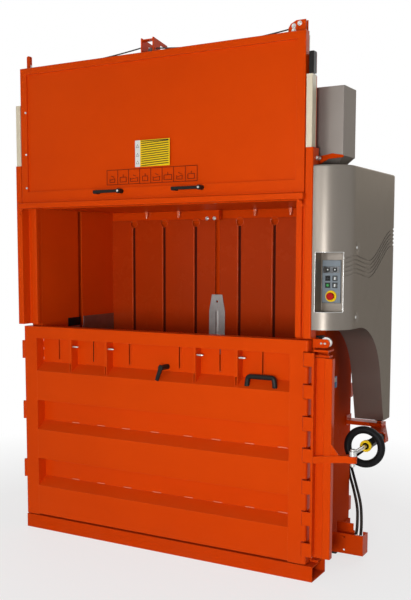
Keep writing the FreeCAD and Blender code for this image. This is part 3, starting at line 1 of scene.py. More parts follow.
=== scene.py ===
import json
import math
import bpy
from mathutils import Matrix, Vector


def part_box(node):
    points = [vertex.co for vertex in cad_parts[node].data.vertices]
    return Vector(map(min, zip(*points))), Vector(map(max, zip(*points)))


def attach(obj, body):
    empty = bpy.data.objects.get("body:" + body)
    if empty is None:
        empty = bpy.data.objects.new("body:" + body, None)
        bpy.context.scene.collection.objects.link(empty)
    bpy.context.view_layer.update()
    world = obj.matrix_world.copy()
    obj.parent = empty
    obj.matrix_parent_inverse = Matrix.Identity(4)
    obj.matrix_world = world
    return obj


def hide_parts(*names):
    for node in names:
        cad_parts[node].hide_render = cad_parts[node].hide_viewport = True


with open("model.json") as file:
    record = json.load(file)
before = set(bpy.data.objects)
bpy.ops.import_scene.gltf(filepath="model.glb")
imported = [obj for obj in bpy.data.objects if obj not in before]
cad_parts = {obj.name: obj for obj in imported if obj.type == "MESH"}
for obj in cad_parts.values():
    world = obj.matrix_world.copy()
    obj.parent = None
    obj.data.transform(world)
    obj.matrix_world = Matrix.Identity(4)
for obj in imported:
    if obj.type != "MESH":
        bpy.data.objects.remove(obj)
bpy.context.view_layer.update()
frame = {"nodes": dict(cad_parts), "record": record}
nodes = frame["nodes"]
print("frame loaded:", len(nodes), "nodes")

# the door's front plane lies this far, in mm, in front of the frame's middle
doorPlane = 430
frontWards, downWards, rightWards = (0, -1, 0), (0, 0, -1), (1, 0, 0)


def fromDoor(depth):
    # depth behind the door's front plane, in mm, as a place in the frame
    return (depth - doorPlane) / 1000


def frontOf(node):
    # depth of a CAD node's front face behind the door's front plane, in mm
    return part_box(node)[0].y * 1000 + doorPlane


def spot(x, depth, z):
    # a place given in mm, its depth measured from the door's front plane
    return (x / 1000, fromDoor(depth), z / 1000)


def paint(red, green, blue):
    # a colour picked on screen, 0 to 255, as the linear value that a shader takes
    parts = [value / 255 for value in (red, green, blue)]
    return [part / 12.92 if part < 0.04 else ((part + 0.055) / 1.055) ** 2.4 for part in parts] + [1.0]


def clearSelection():
    if bpy.context.object and bpy.context.object.mode != "OBJECT":
        bpy.ops.object.mode_set(mode="OBJECT")
    bpy.ops.object.select_all(action="DESELECT")


# camera: where the photograph was taken from
cameraSetup = {"place": (2.783, -4.921, 1.836), "yaw": 30.78, "pitch": 5.68, "roll": -0.12,
               "lens": 52.81, "sensor": 36, "shiftX": 0.0617, "shiftY": 0.0665, "reach": 200}


def addCamera(setup):
    yaw, pitch, roll = [math.radians(setup[key]) for key in ("yaw", "pitch", "roll")]
    level = Vector((-math.sin(yaw), math.cos(yaw), 0))
    right = Vector((math.cos(yaw), math.sin(yaw), 0))
    forward = level * math.cos(pitch) - Vector((0, 0, 1)) * math.sin(pitch)
    up = right.cross(forward)
    turned = right * math.cos(roll) + up * math.sin(roll)
    up = forward.cross(turned) * -1
    bpy.ops.object.camera_add(location=setup["place"])
    camera = bpy.context.object
    basis = Matrix((turned, up, -forward)).transposed().to_4x4()
    camera.matrix_world = Matrix.Translation(setup["place"]) @ basis
    camera.data.lens = setup["lens"]
    camera.data.sensor_width = setup["sensor"]
    camera.data.shift_x = setup["shiftX"]
    camera.data.shift_y = setup["shiftY"]
    camera.data.clip_end = setup["reach"]
    bpy.context.scene.camera = camera


bpy.ops.object.select_all(action="DESELECT")
addCamera(cameraSetup)
print("camera done")

# cords: the same route points as their CAD solids, in mm: x, depth, z
hoseKind = {"diameter": 0.018, "slot": "black_rubber", "stiffness": "medium", "lay": "hanging"}
ropeKind = {"diameter": 0.008, "slot": "black_rope", "stiffness": "limp", "lay": "taut"}
cordSetup = {
    "frontHose": {**hoseKind, "node": "front_hose", "length": 1.020, "route": [
        (890, 978, 866), (890, 978, 760), (892, 982, 650), (893, 984, 550), (894, 984, 450), (907, 983, 370),
        (938, 954, 318), (975, 885, 284), (1011, 815, 254), (1042, 745, 225), (1063, 685, 200),
        (1080, 632, 172), (1092, 590, 145), (1096, 560, 122)]},
    "rearHose": {**hoseKind, "node": "rear_hose", "length": 1.048, "route": [
        (862, 978, 866), (862, 978, 760), (866, 990, 640), (880, 1008, 530), (904, 1014, 430), (931, 1003, 356),
        (963, 960, 308), (1000, 895, 275), (1036, 822, 245), (1062, 758, 221), (1083, 700, 195),
        (1102, 645, 168), (1116, 598, 140), (1124, 563, 119)]},
    "leftTieRope": {**ropeKind, "node": "sync_rope", "length": 0.856, "route": [
        (-88.6, 47, 3046.3), (-195.3, 47, 3032.7), (-302.1, 47, 3021.9), (-408.9, 47, 3013.7),
        (-515.6, 47, 3008.2), (-622.4, 47, 3005.4), (-729.1, 47, 3005.3), (-835.9, 47, 3007.9),
        (-942.6, 47, 3013.1)]},
    "rightTieRope": {**ropeKind, "node": "sync_rope", "length": 0.876, "route": [
        (0.6, 47, 3031.5), (109.8, 47, 3019.5), (218.9, 47, 3011.1), (328.1, 47, 3006.3), (437.3, 47, 3005.0),
        (546.5, 47, 3007.4), (655.6, 47, 3013.3), (764.8, 47, 3022.7), (874.0, 47, 3035.8)]}}


def addPath(places, steps, rounds):
    # a smooth path along the places, still without thickness
    clearSelection()
    bpy.ops.curve.primitive_nurbs_path_add()
    path = bpy.context.object
    path.data.splines.clear()
    spline = path.data.splines.new("NURBS")
    spline.points.add(len(places) - 1)
    for point, place in zip(spline.points, places):
        point.co = (*place, 1)
    spline.order_u = 3
    spline.use_endpoint_u = True
    spline.resolution_u = steps
    path.data.bevel_resolution = rounds
    path.data.use_fill_caps = True
    return path


def addCord(name, setup):
    points = [spot(*place) for place in setup["route"]]
    cord = addPath(points, steps=12, rounds=4)
    cord.name = cord.data.name = name
    # the points hold the radius, since a curve's bound box grows by what they hold
    for point in cord.data.splines[0].points:
        point.radius = setup["diameter"] / 2
    cord.data.bevel_depth = 1.0
    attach(cord, "machine")
    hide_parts(setup["node"])
    return cord


# ---- shader groups ----
# what isn't named here is a plain number
socketKinds = {"Colour": "NodeSocketColor", "Shade": "NodeSocketColor", "Stain": "NodeSocketColor",
               "Normal": "NodeSocketVector"}


def startGroup(name, inputs, outputs):
    group = bpy.data.node_groups.new(name, "ShaderNodeTree")
    for label, value in inputs.items():
        kind = socketKinds.get(label, "NodeSocketFloat")
        socket = group.interface.new_socket(name=label, in_out="INPUT", socket_type=kind)
        socket.default_value = value
    for label in outputs:
        kind = socketKinds.get(label, "NodeSocketFloat")
        group.interface.new_socket(name=label, in_out="OUTPUT", socket_type=kind)
    return group, group.nodes.new("NodeGroupInput"), group.nodes.new("NodeGroupOutput")


def addNode(tree, kind, links=None, **settings):
    # a node with its settings; links maps an input's name or number to a socket or a value
    node = tree.nodes.new("ShaderNode" + kind)
    for key, value in settings.items():
        setattr(node, key, value)
    for key, value in (links or {}).items():
        if isinstance(value, bpy.types.NodeSocket):
            tree.links.new(value, node.inputs[key])
        else:
            node.inputs[key].default_value = value
    return node


def feed(tree, node, **sockets):
    # links sockets to the inputs of those names
    for label, socket in sockets.items():
        tree.links.new(socket, node.inputs[label.replace("_", " ")])


def calc(tree, operation, first, second=0.0, third=0.0, clamp=False):
    node = addNode(tree, "Math", {0: first, 1: second, 2: third}, operation=operation, use_clamp=clamp)
    return node.outputs[0]


def contrast(tree, value, gain, offset):
    # spreads a value and keeps it between 0 and 1
    return calc(tree, "MULTIPLY_ADD", value, gain, offset, clamp=True)


def blendColour(tree, factor, first, second):
    return addNode(tree, "Mix", {0: factor, 6: first, 7: second}, data_type="RGBA").outputs[2]


def noiseAt(tree, scale, detail=2.0, roughness=0.5, stretch=None, distortion=0.0):
    place = addNode(tree, "TexCoord").outputs["Object"]
    if stretch:
        place = addNode(tree, "Mapping", {"Vector": place, "Scale": stretch}).outputs["Vector"]
    node = addNode(tree, "TexNoise", {"Vector": place, "Scale": scale, "Detail": detail, "Roughness": roughness,
                                      "Distortion": distortion})
    return node.outputs["Fac"]


def makeEdgeGroup():
    # softened edges, and a mask that is 1 along edges, in patches: rubbed edges, and on the paints also a
    # painted edge highlight
    tree, given, out = startGroup("Edges", {"Radius": 0.003, "Wear": 0.5}, ("Mask", "Normal"))
    bevel = addNode(tree, "Bevel", {"Radius": given.outputs["Radius"]}, samples=4)
    face = addNode(tree, "NewGeometry")
    dot = addNode(tree, "VectorMath", {0: bevel.outputs[0], 1: face.outputs["Normal"]},
                  operation="DOT_PRODUCT")
    sharpness = 6.0
    edge = calc(tree, "SUBTRACT", 1.0, dot.outputs["Value"])
    edge = calc(tree, "MULTIPLY", edge, sharpness, clamp=True)
    patches = contrast(tree, noiseAt(tree, scale=14.0, detail=5.0, roughness=0.65), gain=3.0, offset=-0.9)
    mask = calc(tree, "MULTIPLY", edge, patches)
    feed(tree, out, Mask=calc(tree, "MULTIPLY", mask, given.outputs["Wear"]), Normal=bevel.outputs[0])
    return tree


def makeCoatGroup():
    # powder coat: cloudy tone, fine orange peel and a few rubbed patches
    tree, given, out = startGroup(
        "PowderCoat",
        {"Colour": (0.8, 0.8, 0.8, 1), "Shade": (0.5, 0.5, 0.5, 1), "Clouds": 0.5, "Gloss": 0.3},
        ("Colour", "Roughness", "Height"))
    rubbedDulls, waveHeight = 0.1, 6.0
    clouds = contrast(tree, noiseAt(tree, scale=1.7, detail=4.0, roughness=0.6), gain=1.6, offset=-0.3)
    amount = calc(tree, "MULTIPLY", clouds, given.outputs["Clouds"])
    colour = blendColour(tree, amount, given.outputs["Colour"], given.outputs["Shade"])
    rubbed = contrast(tree, noiseAt(tree, scale=5.0, detail=6.0, roughness=0.7), gain=2.6, offset=-1.3)
    roughness = calc(tree, "MULTIPLY_ADD", rubbed, rubbedDulls, given.outputs["Gloss"])
    peel = noiseAt(tree, scale=260.0, detail=2.0, roughness=0.5)
    wave = noiseAt(tree, scale=7.0, detail=2.0, roughness=0.4)
    height = calc(tree, "MULTIPLY_ADD", wave, waveHeight, peel)
    feed(tree, out, Colour=colour, Roughness=roughness, Height=height)
    return tree


def makeDustGroup():
    # dust that lies on what looks up, and dirt thrown up from the floor
    tree, given, out = startGroup("Dust", {"Lying": 0.3, "Floor": 0.5, "Reach": 0.35}, ("Mask",))
    face = addNode(tree, "NewGeometry")
    up = addNode(tree, "SeparateXYZ", {0: face.outputs["Normal"]}).outputs["Z"]
    lying = calc(tree, "MULTIPLY", contrast(tree, up, gain=2.5, offset=-1.2), given.outputs["Lying"])
    height = addNode(tree, "SeparateXYZ", {0: addNode(tree, "TexCoord").outputs["Object"]}).outputs["Z"]
    low = calc(tree, "SUBTRACT", 1.0, calc(tree, "DIVIDE", height, given.outputs["Reach"]), clamp=True)
    low = calc(tree, "MULTIPLY", calc(tree, "MULTIPLY", low, low), given.outputs["Floor"])
    patches = contrast(tree, noiseAt(tree, scale=6.0, detail=6.0, roughness=0.68), gain=2.2, offset=-0.6)
    feed(tree, out, Mask=calc(tree, "MULTIPLY", calc(tree, "ADD", lying, low), patches, clamp=True))
    return tree


def makeScratchGroup():
    # long faint scratches: bright where something was dragged along the sheet
    tree, given, out = startGroup("Scratches", {"Amount": 0.4, "Density": 1.0}, ("Mask",))
    stretch, coarse = 26.0, 3.0
    scale = calc(tree, "MULTIPLY", given.outputs["Density"], coarse)
    runs = [noiseAt(tree, scale, detail=8.0, roughness=0.75, stretch=run, distortion=0.3)
            for run in ((1.0, 1.0, stretch), (stretch, 1.0, 1.0))]
    thin = [contrast(tree, run, gain=14.0, offset=-9.2) for run in runs]
    both = calc(tree, "MAXIMUM", thin[0], thin[1])
    where = contrast(tree, noiseAt(tree, scale=1.6, detail=3.0, roughness=0.6), gain=3.0, offset=-1.1)
    feed(tree, out, Mask=calc(tree, "MULTIPLY", calc(tree, "MULTIPLY", both, where), given.outputs["Amount"]))
    return tree


def makeBrushGroup():
    # brushing or rolling marks of bare metal, along one direction
    tree, given, out = startGroup(
        "Brushed",
        {"Colour": (0.6, 0.6, 0.6, 1), "Stain": (0.3, 0.3, 0.3, 1), "Fineness": 1.0, "Roughness": 0.3},
        ("Colour", "Roughness", "Height"))
    lineScale, stainShare, stainDulls, lineDulls = 40.0, 0.55, 0.15, 0.16
    scale = calc(tree, "MULTIPLY", given.outputs["Fineness"], lineScale)
    lines = noiseAt(tree, scale, detail=3.0, roughness=0.6, stretch=(1.0, 1.0, 14.0))
    stains = contrast(tree, noiseAt(tree, scale=5.0, detail=6.0, roughness=0.7), gain=2.4, offset=-0.9)
    colour = blendColour(tree, calc(tree, "MULTIPLY", stains, stainShare), given.outputs["Colour"],
                         given.outputs["Stain"])
    roughness = calc(tree, "ADD", calc(tree, "MULTIPLY", stains, stainDulls),
                     calc(tree, "MULTIPLY_ADD", lines, lineDulls, given.outputs["Roughness"]))
    feed(tree, out, Colour=colour, Roughness=roughness, Height=lines)
    return tree


edgeGroup, coatGroup, dustGroup = makeEdgeGroup(), makeCoatGroup(), makeDustGroup()
scratchGroup, brushGroup = makeScratchGroup(), makeBrushGroup()
print("shader groups done")


# ---- materials ----
# values that every material of a kind shares; edges and bumps in metres
coatRoughness = 0.1
paintSetup = {"dustDulls": 0.5, "bump": 0.002}
metalSetup = {"edge": 0.0015, "bump": 0.001, "density": 2.0, "marks": (0.75, 0.75, 0.73, 1),
              "rubbed": (0.8, 0.8, 0.78, 1)}
plasticSetup = {"edge": 0.0015, "bump": 0.0006, "edgeMix": 0.6, "floor": 0.4, "cloudShare": 0.35,
                "cloudDulls": 0.12, "dust": paint(150, 140, 125)}


def useGroup(tree, group, **values):
    return addNode(tree, "Group", values, node_tree=group).outputs


def startMaterial(name, **values):
    material = bpy.data.materials.new(name)
    material.use_nodes = True
    shader = material.node_tree.nodes["Principled BSDF"]
    for key, value in values.items():
        shader.inputs[key.replace("_", " ")].default_value = value
    return material, material.node_tree, shader


def addBump(tree, shader, height, normal, strength, distance):
    links = {"Strength": strength, "Distance": distance, "Height": height, "Normal": normal}
    feed(tree, shader, Normal=addNode(tree, "Bump", links).outputs[0])


def makePainted(name, colour, shade, edgeColour, dustColour, gloss=0.28, coat=0.0, metallic=0.0, clouds=0.5,
                edgeMix=0.6, lying=0.12, floor=0.15, scratches=0.1, peel=0.04, radius=0.003, shine=0.08,
                tint=(1, 1, 1, 1)):
    colour, shade, edgeColour, dustColour = [paint(*tone) for tone in (colour, shade, edgeColour, dustColour)]
    material, tree, shader = startMaterial(name, Metallic=metallic, Coat_Weight=coat, Specular_IOR_Level=shine,
                                           Coat_Roughness=coatRoughness, Specular_Tint=tint)
    coated = useGroup(tree, coatGroup, Colour=colour, Shade=shade, Clouds=clouds, Gloss=gloss)
    edges = useGroup(tree, edgeGroup, Radius=radius, Wear=edgeMix)
    dust = useGroup(tree, dustGroup, Lying=lying, Floor=floor)
    marks = useGroup(tree, scratchGroup, Amount=scratches)
    tone = blendColour(tree, marks["Mask"], coated["Colour"], edgeColour)
    # edges take the lighter edge colour: rubbed paint and a painted edge highlight
    tone = blendColour(tree, edges["Mask"], tone, edgeColour)
    tone = blendColour(tree, dust["Mask"], tone, dustColour)
    rough = calc(tree, "MULTIPLY_ADD", dust["Mask"], paintSetup["dustDulls"], coated["Roughness"])
    feed(tree, shader, Base_Color=tone, Roughness=rough)
    addBump(tree, shader, coated["Height"], edges["Normal"], peel, paintSetup["bump"])
    return material


def makeMetal(name, colour, stain, roughness=0.28, fineness=1.0, edgeMix=0.4, scratches=0.5, bump=0.08):
    material, tree, shader = startMaterial(name, Metallic=1.0)
    brushed = useGroup(tree, brushGroup, Colour=colour, Stain=stain, Fineness=fineness, Roughness=roughness)
    edges = useGroup(tree, edgeGroup, Radius=metalSetup["edge"], Wear=edgeMix)
    marks = useGroup(tree, scratchGroup, Amount=scratches, Density=metalSetup["density"])
    tone = blendColour(tree, marks["Mask"], brushed["Colour"], metalSetup["marks"])
    tone = blendColour(tree, edges["Mask"], tone, metalSetup["rubbed"])
    feed(tree, shader, Base_Color=tone, Roughness=brushed["Roughness"])
    addBump(tree, shader, brushed["Height"], edges["Normal"], bump, metalSetup["bump"])
    return material


def makePlastic(name, colour, worn, roughness=0.42, grain=180.0, bump=0.12, coat=0.0, dust=0.2, shine=0.5):
    material, tree, shader = startMaterial(name, Coat_Weight=coat, Coat_Roughness=coatRoughness,
                                           Specular_IOR_Level=shine)
    edges = useGroup(tree, edgeGroup, Radius=plasticSetup["edge"], Wear=plasticSetup["edgeMix"])
    dusty = useGroup(tree, dustGroup, Lying=dust, Floor=plasticSetup["floor"])
    cloud = contrast(tree, noiseAt(tree, scale=11.0, detail=4.0, roughness=0.6), gain=1.6, offset=-0.5)
    share = calc(tree, "MULTIPLY", cloud, plasticSetup["cloudShare"])
    tone = blendColour(tree, share, paint(*colour), paint(*worn))
    tone = blendColour(tree, edges["Mask"], tone, paint(*worn))
    tone = blendColour(tree, dusty["Mask"], tone, plasticSetup["dust"])
    fine = noiseAt(tree, grain, detail=2.0, roughness=0.6)
    rough = calc(tree, "MULTIPLY_ADD", cloud, plasticSetup["cloudDulls"], roughness)
    feed(tree, shader, Base_Color=tone, Roughness=rough)
    addBump(tree, shader, fine, edges["Normal"], bump, plasticSetup["bump"])
    return material


# colours of paints and plastics as on screen, 0 to 255; those of metals and tints as a shader takes them
# the orange's edge colour is lighter: rubbed paint and a painted edge highlight in one
orangePaint, orangeShade, orangeEdgeWearAndHighlight, orangeDust = (222, 72, 7), (200, 58, 5), (240, 120, 60), (190, 92, 52)
orangeGlow = (1.0, 0.5, 0.3, 1)
slotMaterials = {
    "orange": makePainted("orangePaint", orangePaint, orangeShade, orangeEdgeWearAndHighlight, orangeDust, tint=orangeGlow),
    "dark_orange": makePainted("sillPaint", (208, 60, 5), (186, 50, 4), orangeEdgeWearAndHighlight, orangeDust, floor=0.1,
                               lying=0.05, scratches=0.2, edgeMix=0.7, tint=orangeGlow),
    "bare_steel": makeMetal("bareSteel", (0.36, 0.35, 0.34, 1), (0.16, 0.14, 0.13, 1), roughness=0.34),
    "zinc": makeMetal("zincPlate", (0.6, 0.6, 0.58, 1), (0.34, 0.33, 0.3, 1), roughness=0.24, fineness=2.5),
    "grey_wheel": makePlastic("greyNylon", (120, 120, 118), (92, 92, 90), shine=0.2),
    "cream_plastic": makePlastic("creamPlastic", (226, 213, 186), (204, 190, 160), roughness=0.38),
    "black_plastic": makePlastic("blackPlastic", (22, 21, 20), (44, 42, 40), roughness=0.4, dust=0.08,
                                 shine=0.15),
    "black_metal": makePainted("blackEnamel", (24, 24, 25), (18, 18, 19), (82, 80, 78), (80, 76, 70),
                               gloss=0.42, clouds=0.6),
    "black_rope": makePlastic("ropeBlack", (34, 32, 30), (84, 82, 78), roughness=0.6),
    "black_rubber": makePlastic("blackRubber", (20, 20, 20), (44, 42, 40), roughness=0.7, bump=0.25, shine=0.12),
    "chrome_rod": makeMetal("polishedRod", (0.72, 0.72, 0.72, 1), (0.55, 0.55, 0.55, 1), roughness=0.1,
                            fineness=3.0, edgeMix=0.1, scratches=0.15, bump=0.01),
    "yellow": makePainted("yellowPaint", (244, 206, 30), (226, 182, 20), (250, 222, 110), (160, 140, 90),
                          gloss=0.36),
    "red_plastic": makePlastic("redPlastic", (176, 14, 12), (190, 34, 26), roughness=0.45, dust=0.05,
                               shine=0.15),
    "silver": makePainted("silverPaint", (130, 123, 115), (118, 111, 103), (168, 164, 158), (128, 120, 110),
                          gloss=0.36, metallic=0.62, clouds=0.3, scratches=0.05, radius=0.002, lying=0.08,
                          floor=0.05, shine=0.1, tint=(0.33, 0.29, 0.24, 1)),
    "panel_grey": makePlastic("panelGrey", (112, 122, 130), (130, 140, 146), roughness=0.42),
    "cabinet_grey": makePainted("cabinetPaint", (140, 133, 127), (128, 121, 115), (180, 176, 172),
                                (136, 128, 118), gloss=0.42, metallic=0.5, peel=0.08, shine=0.08,
                                tint=(0.28, 0.25, 0.21, 1)),
    "key_grey": makePlastic("keyGrey", (52, 55, 58), (84, 86, 88), shine=0.2),
    "key_white": makePlastic("keyWhite", (214, 217, 215), (186, 186, 182)),
    "key_green": makePlastic("keyGreen", (34, 140, 60), (84, 180, 104)),
}
# a lighter, glossier orange for the welds and the press plate's pins: a painted highlight on them
weldHighlightPaint = makePainted("weldHighlightPaint", (240, 128, 84), (226, 92, 44), (252, 190, 160), orangeDust, gloss=0.2,
                        coat=0.4, peel=0.3, shine=0.5)
# a duller, slightly darker copy of the orange for the right side wall and the base frame: the darker tone is
# painted shade
shadedSidePaint = makePainted("shadedSidePaint", (214, 66, 5), (194, 54, 4), orangeEdgeWearAndHighlight, orangeDust, gloss=0.6,
                        shine=0.02, tint=orangeGlow)
# a lighter, shinier orange for the lining's lips and eye rims: a painted highlight on their edges
lipHighlightPaint = makePainted("lipHighlightPaint", (226, 84, 30), (206, 70, 20), orangeEdgeWearAndHighlight, orangeDust, gloss=0.22, coat=0.2,
                       shine=0.4, tint=orangeGlow)
darkGlass = makePlastic("displayGlass", (30, 36, 42), (44, 50, 56), roughness=0.12, bump=0.0, coat=0.6)
shadowPaint = makePlastic("seamShadow", (58, 52, 46), (70, 64, 58), roughness=0.7, bump=0.02)
labelBlue = makePlastic("labelBlue", (40, 130, 190), (60, 150, 200), roughness=0.4, bump=0.02)
labelWhite = makePlastic("labelWhite", (226, 226, 222), (206, 206, 200), roughness=0.45, bump=0.02)
# a dark brown for the backs of the lining's slots: painted shadow
paintedSlotShadow = makePlastic("paintedSlotShadow", (84, 24, 8), (66, 20, 8), roughness=0.7, bump=0.02, dust=0.0, shine=0.1)
outlinePaint = makePlastic("outlinePaint", (112, 34, 14), (104, 30, 10), roughness=0.6, bump=0.02, shine=0.1)
for name, setup in cordSetup.items():
    cord = addCord(name, setup)
    cord.data.materials.append(slotMaterials[setup["slot"]])
print("cords done:", len(cordSetup))
# a darker copy of the orange for the back lining inside the chamber: painted shade
shadedLiningPaint = makePainted("shadedLiningPaint", (190, 60, 10), (172, 50, 8), orangeEdgeWearAndHighlight, orangeDust, gloss=0.26,
                          shine=0.2, tint=orangeGlow)
nodePaint = {"right_side_wall": shadedSidePaint, "base_frame": shadedSidePaint, "back_lining": shadedLiningPaint}
for row in frame["record"]["subparts"]:
    mesh = nodes[row["node"]].data
    mesh.materials.clear()
    mesh.materials.append(nodePaint.get(row["node"], slotMaterials[row["material_slot"]]))
print("materials done:", len(slotMaterials))


# ---- stage and light ----
studio = {"floorHalf": 30.0, "floorColour": (0.84, 0.84, 0.84, 1), "fadeStart": 1.6, "fadeEnd": 3.6,
          "nearWhite": 0.7, "worldLight": 0.24}
lampSetup = {"keyLamp": {"place": (2.3, -5.6, 1.3), "target": (0.4, 0, 1.2), "size": 0.9, "power": 138},
             "stripLamp": {"place": (-0.3, -6.4, 2.3), "target": (0.6, 0, 1.3), "size": 1.5, "power": 50},
             "fillLamp": {"place": (-6.8, -3.0, 3.6), "target": (0, 0, 1.5), "size": 3.0, "power": 12},
             "backLamp": {"place": (1.5, 6.0, 4.0), "target": (0, 0, 1.5), "size": 3.0, "power": 60}}


def seenRays(tree):
    # 1 for the rays that show a thing, straight on, mirrored or through glass
    light = addNode(tree, "LightPath")
    seen = calc(tree, "MAXIMUM", light.outputs["Is Camera Ray"], light.outputs["Is Glossy Ray"])
    return calc(tree, "MAXIMUM", seen, light.outputs["Is Transmission Ray"])


def addStage(setup):
    bpy.ops.mesh.primitive_plane_add(size=2 * setup["floorHalf"], location=(0, 0, 0))
    floor = bpy.context.object
    floor.name = "studio_floor"
    material, tree, shader = startMaterial("studioFloor", Roughness=0.6, Base_Color=setup["floorColour"])
    place = addNode(tree, "TexCoord").outputs["Object"]
    distance = addNode(tree, "VectorMath", {0: place}, operation="LENGTH").outputs["Value"]
    span = setup["fadeEnd"] - setup["fadeStart"]
    fade = calc(tree, "DIVIDE", calc(tree, "SUBTRACT", distance, setup["fadeStart"]), span, clamp=True)
    fade = calc(tree, "MULTIPLY_ADD", fade, 1.0 - setup["nearWhite"], setup["nearWhite"])
    seen = seenRays(tree)
    white = addNode(tree, "Emission", {"Strength": 1.0})
    mix = addNode(tree, "MixShader", {0: calc(tree, "MULTIPLY", fade, seen), 1: shader.outputs[0],
                                      2: white.outputs[0]})
    feed(tree, tree.nodes["Material Output"], Surface=mix.outputs[0])
    floor.data.materials.append(material)
    world = bpy.data.worlds.new("studioWorld")
    world.use_nodes = True
    bpy.context.scene.world = world
    tree = world.node_tree
    back = tree.nodes["Background"]
    back.inputs["Color"].default_value = (1, 1, 1, 1)
    strength = calc(tree, "MULTIPLY_ADD", seenRays(tree), 1.0 - setup["worldLight"], setup["worldLight"])
    feed(tree, back, Strength=strength)


def addLamp(name, place, target, size, power):
    bpy.ops.object.light_add(type="AREA", location=place)
    lamp = bpy.context.object
    lamp.name = name
    lamp.data.size = size
    lamp.data.energy = power
    aim = Vector(target) - Vector(place)
    lamp.rotation_euler = aim.to_track_quat("-Z", "Y").to_euler()


addStage(studio)
for name, setup in lampSetup.items():
    addLamp(name, **setup)
scene = bpy.context.scene
scene.view_settings.view_transform = "Standard"
print("stage and lamps done")


# ---- modelling helpers ----
smoothAngle = math.radians(35)


def takePlace(piece, name):
    # puts a new primitive's place, turn and size into its mesh
    piece.name = piece.data.name = name
    bpy.ops.object.transform_apply(location=True, rotation=True, scale=True)
    return piece


def addBlock(name, low, high):
    # a block between two corners in mm: x, depth, z
    clearSelection()
    low, high = spot(*low), spot(*high)
    bpy.ops.mesh.primitive_cube_add(size=1, location=[(a + b) / 2 for a, b in zip(low, high)])
    piece = bpy.context.object
    piece.scale = [b - a for a, b in zip(low, high)]
    return takePlace(piece, name)


def addRod(name, start, end, radius, sides=24):
    clearSelection()
    start, end = Vector(start), Vector(end)
    bpy.ops.mesh.primitive_cylinder_add(vertices=sides, radius=radius, depth=(end - start).length,
                                        location=(start + end) / 2)
    piece = bpy.context.object
    piece.rotation_euler = (end - start).to_track_quat("Z", "Y").to_euler()
    return takePlace(piece, name)


def runsAlong(axis):
    # test for edges that run along an axis, 0 to 2
    return lambda middle, run: abs(run[axis]) > 0.9


def ringAbove(axis, level):
    # test for edges square to an axis and past a level on it
    return lambda middle, run: abs(run[axis]) < 0.1 and middle[axis] > level


def looksTo(direction):
    # test for faces that look in a direction
    return lambda middle, normal: normal.dot(Vector(direction)) > 0.9


def activate(piece):
    clearSelection()
    piece.select_set(True)
    bpy.context.view_layer.objects.active = piece


def pick(piece, kind, test):
    # selects in edit mode the faces or edges whose middle and direction pass the test
    activate(piece)
    bpy.ops.object.mode_set(mode="EDIT")
    bpy.ops.mesh.select_mode(type=kind)
    bpy.ops.mesh.select_all(action="DESELECT")
    bpy.ops.object.mode_set(mode="OBJECT")
    mesh = piece.data
    if kind == "FACE":
        for face in mesh.polygons:
            face.select = test(face.center, face.normal)
    else:
        for edge in mesh.edges:
            first, second = [mesh.vertices[index].co for index in edge.vertices]
            edge.select = test((first + second) / 2, (second - first).normalized())
    bpy.ops.object.mode_set(mode="EDIT")


def roundEdges(piece, test, rounding, segments):
    # rounds the edges that pass the test, by a width in mm
    pick(piece, "EDGE", test)
    bpy.ops.mesh.bevel(offset=rounding / 1000, segments=segments, affect="EDGES", clamp_overlap=True)
    bpy.ops.object.mode_set(mode="OBJECT")


def finish(piece, body, slotName, material=None):
    activate(piece)
    bpy.ops.object.shade_smooth_by_angle(angle=smoothAngle)
    piece.data.materials.clear()
    piece.data.materials.append(material or slotMaterials[slotName])
    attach(piece, body)
    return piece


def copyTo(piece, name, matrix):
    twin = bpy.data.objects.new(name, piece.data.copy())
    twin.data.transform(matrix)
    bpy.context.scene.collection.objects.link(twin)
    return twin


def joinAll(name, pieces):
    clearSelection()
    for piece in pieces:
        piece.select_set(True)
    bpy.context.view_layer.objects.active = pieces[0]
    if len(pieces) > 1:
        bpy.ops.object.join()
    piece = bpy.context.object
    piece.name = piece.data.name = name
    return piece


# ---- fasteners: modelled once at the origin, looking up +Z, then copied ----
# shares of the radius or the height
boltShape = {"washer": 0.18, "washerRadius": 1.45, "washerRound": 0.06, "rim": 0.12, "crown": 0.08,
             "dish": 0.3, "dishDepth": 0.05}
screwShape = {"round": 0.45, "rim": 0.25, "hollow": 0.4}
beadShape = {"steps": 8, "tip": 0.35, "dip": 0.22}


def makeHexBolt(radius, height, shape):
    seat = height * shape["washer"]
    washer = addRod("washer", (0, 0, 0), (0, 0, seat), radius * shape["washerRadius"])
    roundEdges(washer, ringAbove(2, seat * 0.9), height * shape["washerRound"] * 1000, 1)
    head = addRod("head", (0, 0, seat), (0, 0, height), radius, 6)
    pick(head, "FACE", lambda middle, normal: normal.z > 0.9)
    bpy.ops.mesh.inset(thickness=radius * shape["rim"], depth=0)
    bpy.ops.transform.translate(value=(0, 0, height * shape["crown"]))
    bpy.ops.mesh.inset(thickness=radius * shape["dish"], depth=-height * shape["dishDepth"])
    return joinAll("hexBolt", [washer, head])


def makeSocketScrew(radius, height, shape):
    screw = addRod("socketScrew", (0, 0, 0), (0, 0, height), radius, 20)
    roundEdges(screw, ringAbove(2, height * 0.9), height * shape["round"] * 1000, 3)
    pick(screw, "FACE", lambda middle, normal: normal.z > 0.98 and middle.z > height * 0.95)
    bpy.ops.mesh.inset(thickness=radius * shape["rim"], depth=-height * shape["hollow"])
    return screw


